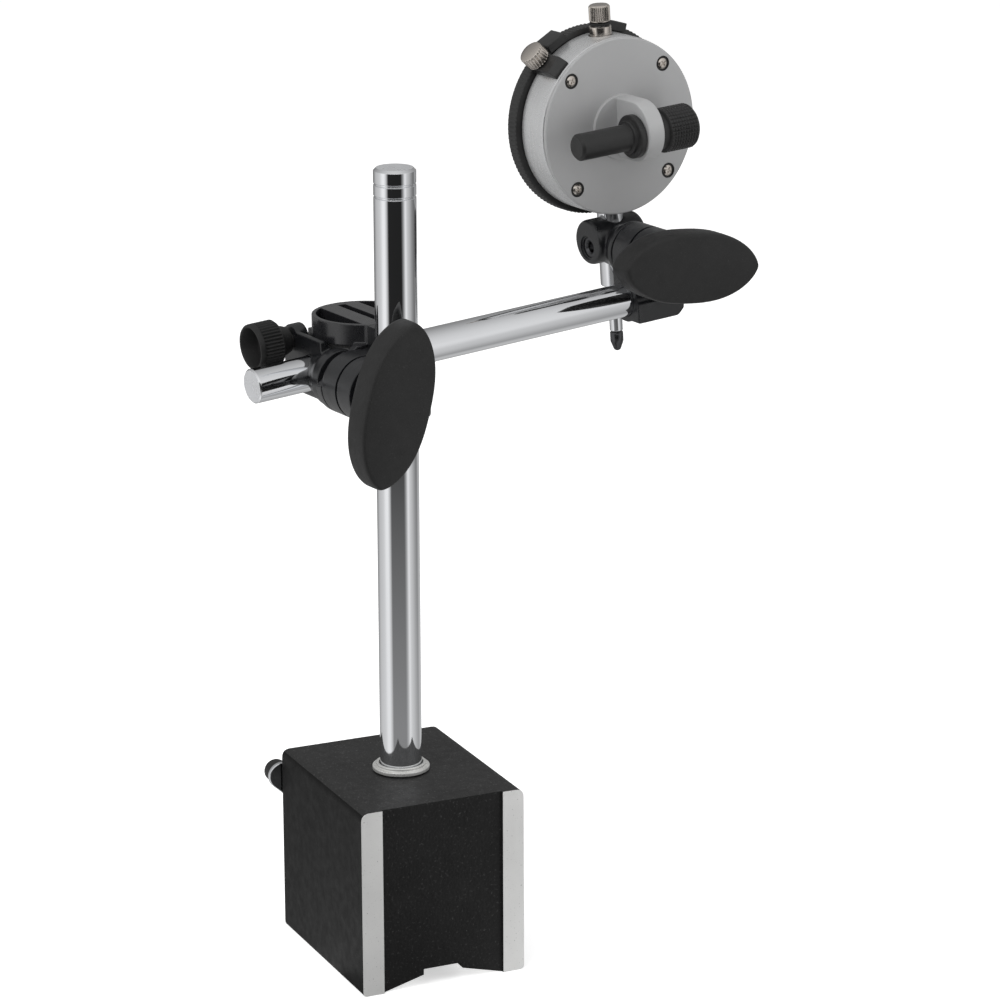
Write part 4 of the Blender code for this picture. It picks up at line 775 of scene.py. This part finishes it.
def build_stem_head():
    ends = [(0, SOCKET_HALF), (SOCKET_R, SOCKET_HALF), (SOCKET_R, -SOCKET_HALF), (0, -SOCKET_HALF)]
    barrel = lathe(soft(ends, [0, 1.4, 1.4, 0], 6),
                   Matrix.Translation((0, 0, SOCKET_RISE)) @ ALONG_X, FINE)
    start = SLEEVE_START
    sleeve = lathe([(0, start), (8.4, start), (8.4, start + 1.6), (7.0, start + 4.6),
                    (6.4, start + 7.5), (6.6, -2.2), (0, -2.2)], ALONG_Y, FINE)
    blank = cast([barrel, sleeve], passes=8)
    cutters = [bar(STEM_R + 0.15, -FAR, FAR, sides=FINE), bar(3.1, -FAR, -5.5, turn=ALONG_X),
               bar(3.7, -FAR, -8.3, turn=ALONG_X), bar(BOLT_BORE_R, -FAR, -5, turn=ALONG_Y),
               block((-FAR, -FAR - 10, -FAR), (FAR, start + 0.05, FAR))]
    put("stem_head_casting", carved(blank, cutters), "stem_head", "cast", HEAD, ["stem_head"])
    bush = soft([(3.05, -8.0), (3.05, -5.0), (1.6, -5.0), (1.6, -7.4), (2.2, -8.0)], 0.2, 3,
                True)
    put("stem_head_bush", lathe(bush, ALONG_X, ring=True), "stem_head", "dark_steel", HEAD)


# --- indicator ---

SCREW_SPREAD = 16.3
SCREWS = [(x, z) for z in (SCREW_SPREAD, -SCREW_SPREAD) for x in (-SCREW_SPREAD, SCREW_SPREAD)]
CASE_R, PLATE_R, PLATE_BACK, PAD_R, PAD_BACK = 26.7, 26.5, -8.0, 9.7, -8.9
LUG_R, LUG_LEFT, LUG_RIGHT = 9, -1.5, 4.0
SPINDLE_R, CAP_R, BEZEL_R = 2, 3.2, 28.5
ROD_AT = Vector((0, -18.3, -0.9))
SCREW_FACE, HEAD_R, WELL_R = -7.55, 1.65, 2.3


def build_case():
    profile = [(25.0, 6.0), (25.0, 4.9), (25.6, 4.6), (CASE_R, 4.3), (CASE_R, -5.9), (26.5, -6.5),
               (26.0, -6.8), (24.7, -6.8), (24.7, 3.4), (10.0, 3.4), (10.0, 4.6), (23.0, 4.6),
               (23.0, 6.0)]
    shell = lathe(profile, ALONG_Y, 160, True)
    cutters = [bar(4.3, -35, -20), bar(3.6, 20, 35)]
    put("case_shell", carved(shell, cutters), "indicator", "case", DIAL, ["case"], 25)


def build_plate():
    disc = lathe([(0, PLATE_BACK), (26.1, PLATE_BACK), (26.45, -7.8), (PLATE_R, -7.5),
                  (PLATE_R, -7.0), (0, -7.0)], ALONG_Y, 160)
    pad = lathe(soft([(0, PAD_BACK), (PAD_R, PAD_BACK), (PAD_R, -7.2), (0, -7.2)],
                     [0, 0.3, 0, 0]), ALONG_Y, 128)
    lug_loop = [*arc(-16.5, 0, LUG_R, 90, 270, 48), (-7.5, -LUG_R), (-7.5, LUG_R)]
    lug = slab([lug_loop], LUG_LEFT, LUG_RIGHT, SIDEWAYS, 0.4, 3)
    cutters = [bar(3.3, -FAR, FAR, ROD_AT, ALONG_X)]
    for x, z in SCREWS:
        cutters.append(bar(WELL_R, -13, SCREW_FACE, (x, 0, z), ALONG_Y, 48))
    plate = carved(carved(disc, [pad, lug], operation="UNION"), cutters)
    put("back_plate_disc", plate, "indicator", "satin", DIAL, ["back_plate"], 14)
    for i, (x, z) in enumerate(SCREWS, 1):
        at = DIAL @ Matrix.Translation(Vector((x, SCREW_FACE, z)) * MM)
        head = lathe(soft([(0, 0.75), (1.1, 0.7), (HEAD_R, 0.35), (HEAD_R, 0.0), (0, 0)],
                          [0, 0.2, 0.2, 0, 0]), FACING, 48)
        turn = Matrix.Rotation(0.5 * i, 4, "Y")
        cross = [block((-0.95, -3, -0.17), (0.95, -0.3, 0.17)),
                 block((-0.17, -3, -0.95), (0.17, -0.3, 0.95))]
        put(f"plate_screw_head_{i}", carved(head, cross), "indicator", "nickel", at @ turn,
            [f"plate_screw_{i}"])
        well = lathe([(2.28, 0.4), (2.28, 0.02), (HEAD_R, 0.02), (HEAD_R, 0.1), (2.15, 0.1),
                      (2.15, 0.4)], FACING, 48, True)
        put(f"plate_screw_well_{i}", well, "indicator", "rod", at)


def build_stem():
    tube = [(STEM_R, STEM_TOP), (STEM_R, STEM_END), (2.3, STEM_END), (2.3, STEM_TOP)]
    put("stem_tube", lathe(soft(tube, [0, 0.5, 0.2, 0], 4, True), sides=FINE, ring=True), "stem",
        "chrome", DIAL, ["stem"], 25)
    tube = soft([(3.3, 29.2), (3.3, 25.0), (2.3, 25.0), (2.3, 29.2)], 0.15, 3, True)
    put("cap_tube", lathe(tube, sides=FINE, ring=True), "indicator", "nickel", DIAL,
        ["upper_tube"], 25)


def build_spindle():
    bar_profile = [(0, 33.5), (SPINDLE_R, 33.5), (SPINDLE_R, -64.2), (1.7, -64.5), (0, -64.5)]
    put("spindle_bar", lathe(bar_profile), "spindle", "chrome", DIAL, ["spindle"], 25)
    tip = [(0, -64.8), (1.85, -64.8), (2.0, -65.0), (2.0, -67.6), (1.85, -68.1), (1.25, -69.7),
           (1.15, -70.0), (0.9, -70.4), (0.5, -70.64), (0, -70.7)]
    put("contact_tip", lathe(tip), "spindle", "dark_steel", DIAL, ["contact_point"], 40)
    ring = soft([(CAP_R, 30.3), (CAP_R, 29.5), (2.3, 29.5), (2.3, 30.3)], 0.3, 4, True)
    put("cap_seal", lathe(ring, ring=True), "spindle", "rubber", DIAL, ["cap_ring"])
    grip = ribs(30, 0.28, 0.7, 30.9, 35.1, 3.1)
    rows = [(CAP_R, 30.95 + i * 4.1 / 6) for i in range(7)]
    cap = [(0, 30.5), (2.9, 30.5), (3.05, 30.7), (3.05, 30.9), *rows, (3.0, 35.15),
           (2.95, 35.35), (2.6, 35.6), (0, 35.6)]
    put("lift_knob", lathe(cap, sides=180, shape=grip), "spindle", "nickel", DIAL, ["lift_cap"], 35)


def build_bezel():
    grip = ribs(130, 0.30, 0.7, 5.6, 9.4, BEZEL_R - 0.5)
    profile = [(25.3, 5.0), (27.6, 5.0), (28.2, 5.3), (BEZEL_R, 5.65), (BEZEL_R, 7.0),
               (BEZEL_R, 8.2), (BEZEL_R, 9.35), (28.2, 9.7), (27.9, 10.0), (27.7, 10.1),
               (26.3, 11.8), (25.7, 12.0), (25.3, 11.9)]
    put("bezel_ring", lathe(profile, ALONG_Y, 780, True, grip), "bezel", "bezel", DIAL, ["bezel"], 35)
    lens = [(0, 12.5), (6, 12.45), (12, 12.1), (18, 11.45), (22, 10.7), (24.2, 10.1),
            (25.0, 9.7), (25.0, 8.6), (24.0, 8.9), (20, 9.9), (12, 10.9), (6, 11.25), (0, 11.3)]
    put("dial_lens", lathe(lens, ALONG_Y, 128), "bezel", "lens", DIAL, ["crystal"], 60)
    face = lathe([(24.6, 6.8), (24.6, 6.3), (11.8, 6.3), (11.8, 6.8)], ALONG_Y, 128, True)
    put("dial_outer_face", face, "bezel", "dial", DIAL, ["outer_dial"])
    inner = lathe(soft([(0, 6.8), (11.45, 6.8), (11.45, 6.3), (0, 6.3)], [0, 0.1, 0, 0]),
                  ALONG_Y, 128)
    put("dial_inner_face", inner, "indicator", "dial", DIAL, ["inner_dial"])
    build_ticks()
    build_hands()
    for side, angle in (("left", 116.5), ("right", 72)):
        loop = soft([(29.8, 4.0), (29.8, 10.9), (27.7, 10.9), (27.7, 10.3), (28.8, 10.3),
                     (28.8, 4.7), (27.1, 4.7), (27.1, 4.0)], [0.4, 0.4, 0.2, 0, 0, 0, 0, 0.2],
                    4, True)
        clip = slab([loop], -3.3, 3.3, AS_IS, 0.12, 2)
        at = DIAL @ Matrix.Rotation(-math.radians(angle), 4, "Y")
        put(f"limit_clip_{side}", clip, "bezel", "bezel", at, [f"tolerance_clip_{side}"])


def build_ticks():
    """A hundred ticks round the face and ten round the small scale, seen from behind the stand."""
    def strokes(bm, count, cx, cz, inner_for, outer, half_for):
        for k in range(count):
            t = 2 * math.pi * k / count
            side, out = Vector((-math.cos(t), -math.sin(t))), Vector((-math.sin(t), math.cos(t)))
            r0, half = inner_for(k), half_for(k)
            ring = [out * r0 - side * half, out * outer - side * half,
                    out * outer + side * half, out * r0 + side * half]
            low = [bm.verts.new((cx + p.x, 6.79, cz + p.y)) for p in ring]
            high = [bm.verts.new((cx + p.x, 6.84, cz + p.y)) for p in ring]
            bm.faces.new(low)
            bm.faces.new(high)
            for i in range(4):
                j = (i + 1) % 4
                bm.faces.new((low[i], low[j], high[j], high[i]))

    outer = bmesh.new()
    strokes(outer, 100, 0, 0, lambda k: 20.9 if k % 10 == 0 else 21.6 if k % 5 == 0 else 22.3,
            24.0, lambda k: 0.17 if k % 10 == 0 else 0.1)
    put("dial_ticks", mesh_of(outer, weld=False), "bezel", "print", DIAL)
    small = bmesh.new()
    x, _, z = (DIAL.inverted() @ spot("rack_wheel_turn")) / MM
    strokes(small, 10, x, z, lambda k: 2.5 if k % 5 else 2.2, 3.2, lambda k: 0.08)
    put("dial_small_ticks", mesh_of(small, weld=False), "indicator", "print", DIAL)
    numbers = [number_mesh(str(10 * k), 18.4, k * 36, 3.1) for k in range(10)]
    put("dial_numbers", merged(*numbers), "bezel", "print", DIAL)


def number_mesh(text, radius, angle, size):
    """A number standing upright on the face, read from the far side of the stand."""
    curve = bpy.data.curves.new("number", "FONT")
    curve.body = text
    curve.size = size
    curve.align_x = "CENTER"
    curve.align_y = "CENTER"
    curve.extrude = 0.02
    curve.resolution_u = 4
    source = bpy.data.objects.new("number", curve)
    SCENE.collection.objects.link(source)
    made = evaluated(source)
    t = math.radians(angle)
    onto_face = Matrix(((-1, 0, 0, -radius * math.sin(t)), (0, 0, 1, 6.82),
                        (0, 1, 0, radius * math.cos(t)), (0, 0, 0, 1)))
    made.transform(Matrix.Diagonal((MM, MM, MM, 1)) @ onto_face)
    return made


def hand_mesh(reach, half, hub, tail, y):
    loop = [(half * 0.25, reach), (half, hub), *arc(0, 0, hub, 60, -60, 10),
            (half * 1.3, -tail), (-half * 1.3, -tail), *arc(0, 0, hub, 240, 120, 10),
            (-half, hub), (-half * 0.25, reach)]
    return slab([loop], -y - 0.3, -y, FACING, 0.05, 1)


def build_hands():
    put("long_hand", hand_mesh(21.5, 0.55, 1.8, 5, 7.8), "pointer", "hand", DIAL, ["main_pointer"])
    hub = soft([(0, 9.0), (1.1, 8.9), (1.3, 8.2), (1.3, 8.1), (0, 8.1)], [0, 0.3, 0.1, 0, 0])
    put("hand_hub", lathe(hub, ALONG_Y), "pointer", "nickel", DIAL)
    x, _, z = (DIAL.inverted() @ spot("rack_wheel_turn")) / MM
    put("short_hand", hand_mesh(3.0, 0.22, 0.7, 1.0, 7.2), "rack_wheel", "hand", DIAL,
        ["small_pointer"], moved=(x, 0, z))


def build_lock():
    at = DIAL @ Matrix.Rotation(-math.radians(133), 4, "Y")
    loop = soft([(26.5, -6.3), (27.6, -6.3), (29.3, -4.4), (29.3, 4.7), (26.5, 4.7)],
                [0.1, 0.3, 0.4, 0.4, 0.1], 4, True)
    put("lock_block", slab([loop], -3.0, 3.0, AS_IS, 0.2, 2), "indicator", "bezel", at,
        ["bezel_lock_block"])
    grip = ribs(22, 0.38, 0.6, 29.9, 33.7, 3.6)
    head = [(0, 29.5), (3.3, 29.5), (3.6, 29.8), (3.75, 29.95)]
    head += [(3.75, 29.95 + i * 3.7 / 5) for i in range(6)]
    head += [(3.6, 33.8), (3.3, 34.0), (0, 34.0)]
    put("lock_screw", lathe(head, Matrix.Translation((0, 3, 0)) @ ALONG_X, 176, shape=grip),
        "bezel_lock_screw", "nickel", at, ["bezel_lock_screw"], 35)


NUT_RIBS, NUT_PITCH, NUT_START, NUT_END, NUT_CUT = 34, 0.95, 7.3, 16.6, 0.38
FLAT_TOP = 0.55             # share of each diamond that stays uncut


def build_rod():
    at = DIAL @ Matrix.Translation(ROD_AT * MM)
    rod = [(0, 16.3), (3.0, 16.3), (3.0, -1.8), (6.5, -1.8), (6.5, -3.8), (5.0, -3.9),
           (5.0, -5.0), (4.0, -5.1), (4.0, -21.8), (3.2, -22.6), (0, -22.6)]
    put("lug_bar", lathe(soft(rod, [0, 0.2, 0, 0.3, 0.4, 0.2, 0.4, 0.3, 0.3, 0.3, 0], 4),
                         ALONG_X, FINE), "indicator", "rod", at, ["lug_rod"], 35)

    def knurl(angle, radius, height):
        if radius < 6.5 or not NUT_START < height < NUT_END:
            return radius
        a = abs((angle * NUT_RIBS / (2 * math.pi)) % 1 - 0.5) * 2
        b = abs(((height - NUT_START) / NUT_PITCH) % 1 - 0.5) * 2
        return radius - NUT_CUT * max(0.0, max(a, b) - FLAT_TOP) / (1 - FLAT_TOP)

    rows = [(6.7, NUT_START + i * NUT_PITCH / 6) for i in range(1, 58)]
    nut = [(3.3, 4.3), (5.4, 4.3), (5.6, 4.5), (5.6, 6.8), (6.3, 7.0), (6.6, 7.25), *rows,
           (6.5, NUT_END), (6.4, 16.9), (5.6, 17.6), (4.4, 18.0), (2.5, 18.1), (0, 18.1),
           (0, NUT_END), (3.3, NUT_END)]
    put("lug_knurled_nut", lathe(nut, ALONG_X, NUT_RIBS * 8, False, knurl), "lug_nut", "rod", at,
        ["lug_nut"], 40)


# --- carried-over inner pieces ---

INNER_LOOKS = {
    "magnet_rotor": "magnet", "switch_shaft": "steel", "main_draw_bolt": "steel",
    "end_draw_bolt": "steel", "guide_pin": "steel", "centre_pinion": "steel",
    "return_spring": "steel", "hairspring": "steel", "movement_plate": "brass",
    "rack_wheel": "brass", "hairspring_wheel": "brass",
}


def dress_inner_pieces():
    for node, look in INNER_LOOKS.items():
        data = frame["nodes"][node].data
        data.materials.clear()
        data.materials.append(LOOKS[look])


# --- floor, light and camera ---

CAMERA_AT = Vector((-0.426, -1.006, 0.4495))
CAMERA_AIM = Vector((0.398, 0.875, -0.2765))
CAMERA_ROLL, CAMERA_LENS, SENSOR = math.radians(-0.21), 144.9, 36.0
FILL, FLOOR_LIFT = 0.42, 0.55
# brightness that chrome reflects near the horizon, by degrees from the way to the camera, left negative
HORIZON = [(-180, 0.22), (-144, 0.23), (-118, 0.54), (-99, 0.61), (-84, 0.70), (-70, 0.94),
           (-57, 0.97), (-45, 0.57), (-35, 0.02), (34, 0.018), (45, 0.32), (57, 0.90), (70, 0.63),
           (84, 0.49), (99, 0.31), (118, 0.16), (144, 0.50), (180, 0.25)]
OVERHEAD_BACK, OVERHEAD_FRONT = 0.28, 0.92


def horizon_glow(n, direction):
    """What a mirror sees near the horizon, from the direction's bearing."""
    toward = Vector((-CAMERA_AIM.x, -CAMERA_AIM.y, 0)).normalized()
    parts = []
    for axis in (toward, Vector((-toward.y, toward.x, 0))):
        dot = n.add("ShaderNodeVectorMath", {"operation": "DOT_PRODUCT"})
        n.feed(dot, "at 0", direction)
        n.feed(dot, "at 1", axis)
        parts.append(dot.outputs["Value"])
    bearing = n.math("ARCTAN2", parts[1], parts[0])
    share = n.span(bearing, -math.pi, math.pi, 0.0, 1.0)
    ramp = n.add("ShaderNodeValToRGB", None, Fac=share)
    stops = ramp.color_ramp.elements
    stops[0].color, stops[1].color = grey(HORIZON[0][1]), grey(HORIZON[-1][1])
    for degrees, value in HORIZON[1:-1]:
        stops.new((degrees + 180) / 360).color = grey(value)
    return ramp.outputs[0], parts[0]


def build_floor():
    bm = bmesh.new()
    bmesh.ops.create_circle(bm, cap_ends=True, segments=128, radius=9.0)
    mesh = bpy.data.meshes.new("floor")
    bm.to_mesh(mesh)
    bm.free()
    floor = bpy.data.objects.new("floor", mesh)
    SCENE.collection.objects.link(floor)
    made = bpy.data.materials.new("floor_pale")
    made.use_nodes = True
    n = Nodes(made.node_tree)
    floor.location = foot
    place = n.add("ShaderNodeTexCoord").outputs["Object"]
    length = n.add("ShaderNodeVectorMath", {"operation": "LENGTH"})
    n.feed(length, "at 0", place)
    far = n.span(length.outputs["Value"], 0.20, 0.62, 0.0, 1.0)
    glow, _ = horizon_glow(n, place)
    split = n.add("ShaderNodeSeparateColor", None, Color=glow)
    lifted = n.math("ADD", n.math("MULTIPLY", split.outputs[0], 0.65), 0.25)
    near = n.add("ShaderNodeCombineColor", None, Red=lifted, Green=lifted, Blue=lifted)
    mirrored = n.add("ShaderNodeEmission", None, Color=n.mix(far, near.outputs[0], glow))
    diffuse = n.add("ShaderNodeBsdfDiffuse", None, Color=grey(0.90))
    lift = n.add("ShaderNodeEmission", None, Color=grey(1.0), Strength=FLOOR_LIFT)
    shown = n.add("ShaderNodeAddShader")
    n.feed(shown, "at 0", diffuse.outputs[0])
    n.feed(shown, "at 1", lift.outputs[0])
    path = n.add("ShaderNodeLightPath")
    seen = n.add("ShaderNodeMixShader")
    n.feed(seen, "at 0", path.outputs["Is Camera Ray"])
    n.feed(seen, "at 1", diffuse.outputs[0])
    n.feed(seen, "at 2", shown.outputs[0])
    either = n.add("ShaderNodeMixShader")
    n.feed(either, "at 0", path.outputs["Is Glossy Ray"])
    n.feed(either, "at 1", seen.outputs[0])
    n.feed(either, "at 2", mirrored.outputs[0])
    n.feed(n.add("ShaderNodeOutputMaterial"), "Surface", either.outputs[0])
    mesh.materials.append(made)


def build_world():
    world = bpy.data.worlds.new("studio")
    SCENE.world = world
    world.use_nodes = True
    n = Nodes(world.node_tree)
    direction = n.add("ShaderNodeTexCoord").outputs["Generated"]
    split = n.add("ShaderNodeSeparateXYZ", None, Vector=direction)
    glow, facing = horizon_glow(n, direction)
    overhead = n.span(facing, -0.9, 0.9, OVERHEAD_BACK, OVERHEAD_FRONT)
    low = n.span(split.outputs[2], 0.30, 0.14, 0.0, 1.0)
    above = n.add("ShaderNodeCombineColor", None, Red=overhead, Green=overhead, Blue=overhead)
    path = n.add("ShaderNodeLightPath")
    tint = n.mix(path.outputs["Is Glossy Ray"], grey(FILL), n.mix(low, above.outputs[0], glow))
    tint = n.mix(path.outputs["Is Camera Ray"], tint, grey(1.15))
    n.feed(n.add("ShaderNodeOutputWorld"), "Surface",
           n.add("ShaderNodeBackground", None, Color=tint).outputs[0])


def softbox(name, place, size, power):
    data = bpy.data.lights.new(name, "AREA")
    data.shape = "RECTANGLE"
    data.size, data.size_y = size
    data.energy = power
    lamp = bpy.data.objects.new(name, data)
    SCENE.collection.objects.link(lamp)
    lamp.location = foot + Vector(place)
    lamp.visible_glossy = False
    away = Vector((0.03, 0.02, 0.14)) - Vector(place)       # towards the stand's middle
    lamp.rotation_euler = away.to_track_quat("-Z", "Y").to_euler()


def build_camera():
    data = bpy.data.cameras.new("camera")
    data.lens, data.sensor_width = CAMERA_LENS, SENSOR
    data.clip_start, data.clip_end = 0.05, 20
    camera = bpy.data.objects.new("camera", data)
    SCENE.collection.objects.link(camera)
    aim_turn = CAMERA_AIM.to_track_quat("-Z", "Y").to_matrix().to_4x4()
    camera.matrix_world = (Matrix.Translation(foot + CAMERA_AT) @ aim_turn
                           @ Matrix.Rotation(CAMERA_ROLL, 4, "Z"))
    SCENE.camera = camera


build_base()
build_switch()
build_post()
build_post_clamp()
build_carrier()
build_wing("main_wing", "main_wing", CLAMP @ Matrix.Translation((BOLT_X * MM, 0, 0)),
           MAIN_WING_LEAN, MAIN_WING_BACK, "main_wing_knob", MAIN_WING_DROP)
build_head()
build_fine_knob()
build_arm()
build_end_clamp()
build_wing("end_wing", "end_wing", END @ Matrix.Translation((0, 0, END_BOLT_Z * MM)),
           END_WING_LEAN, END_WING_BACK, "end_wing_knob")
build_stem_head()
build_case()
build_plate()
build_stem()
build_spindle()
build_bezel()
build_lock()
build_rod()
dress_inner_pieces()
build_floor()
build_world()
softbox("key", (-0.9, -0.5, 1.2), (0.9, 0.9), 9)
softbox("side", (1.2, -0.7, 0.7), (0.8, 1.2), 5)
softbox("top", (0.1, 0.4, 1.5), (1.2, 1.2), 6)
build_camera()
SCENE.view_settings.view_transform = "Standard"
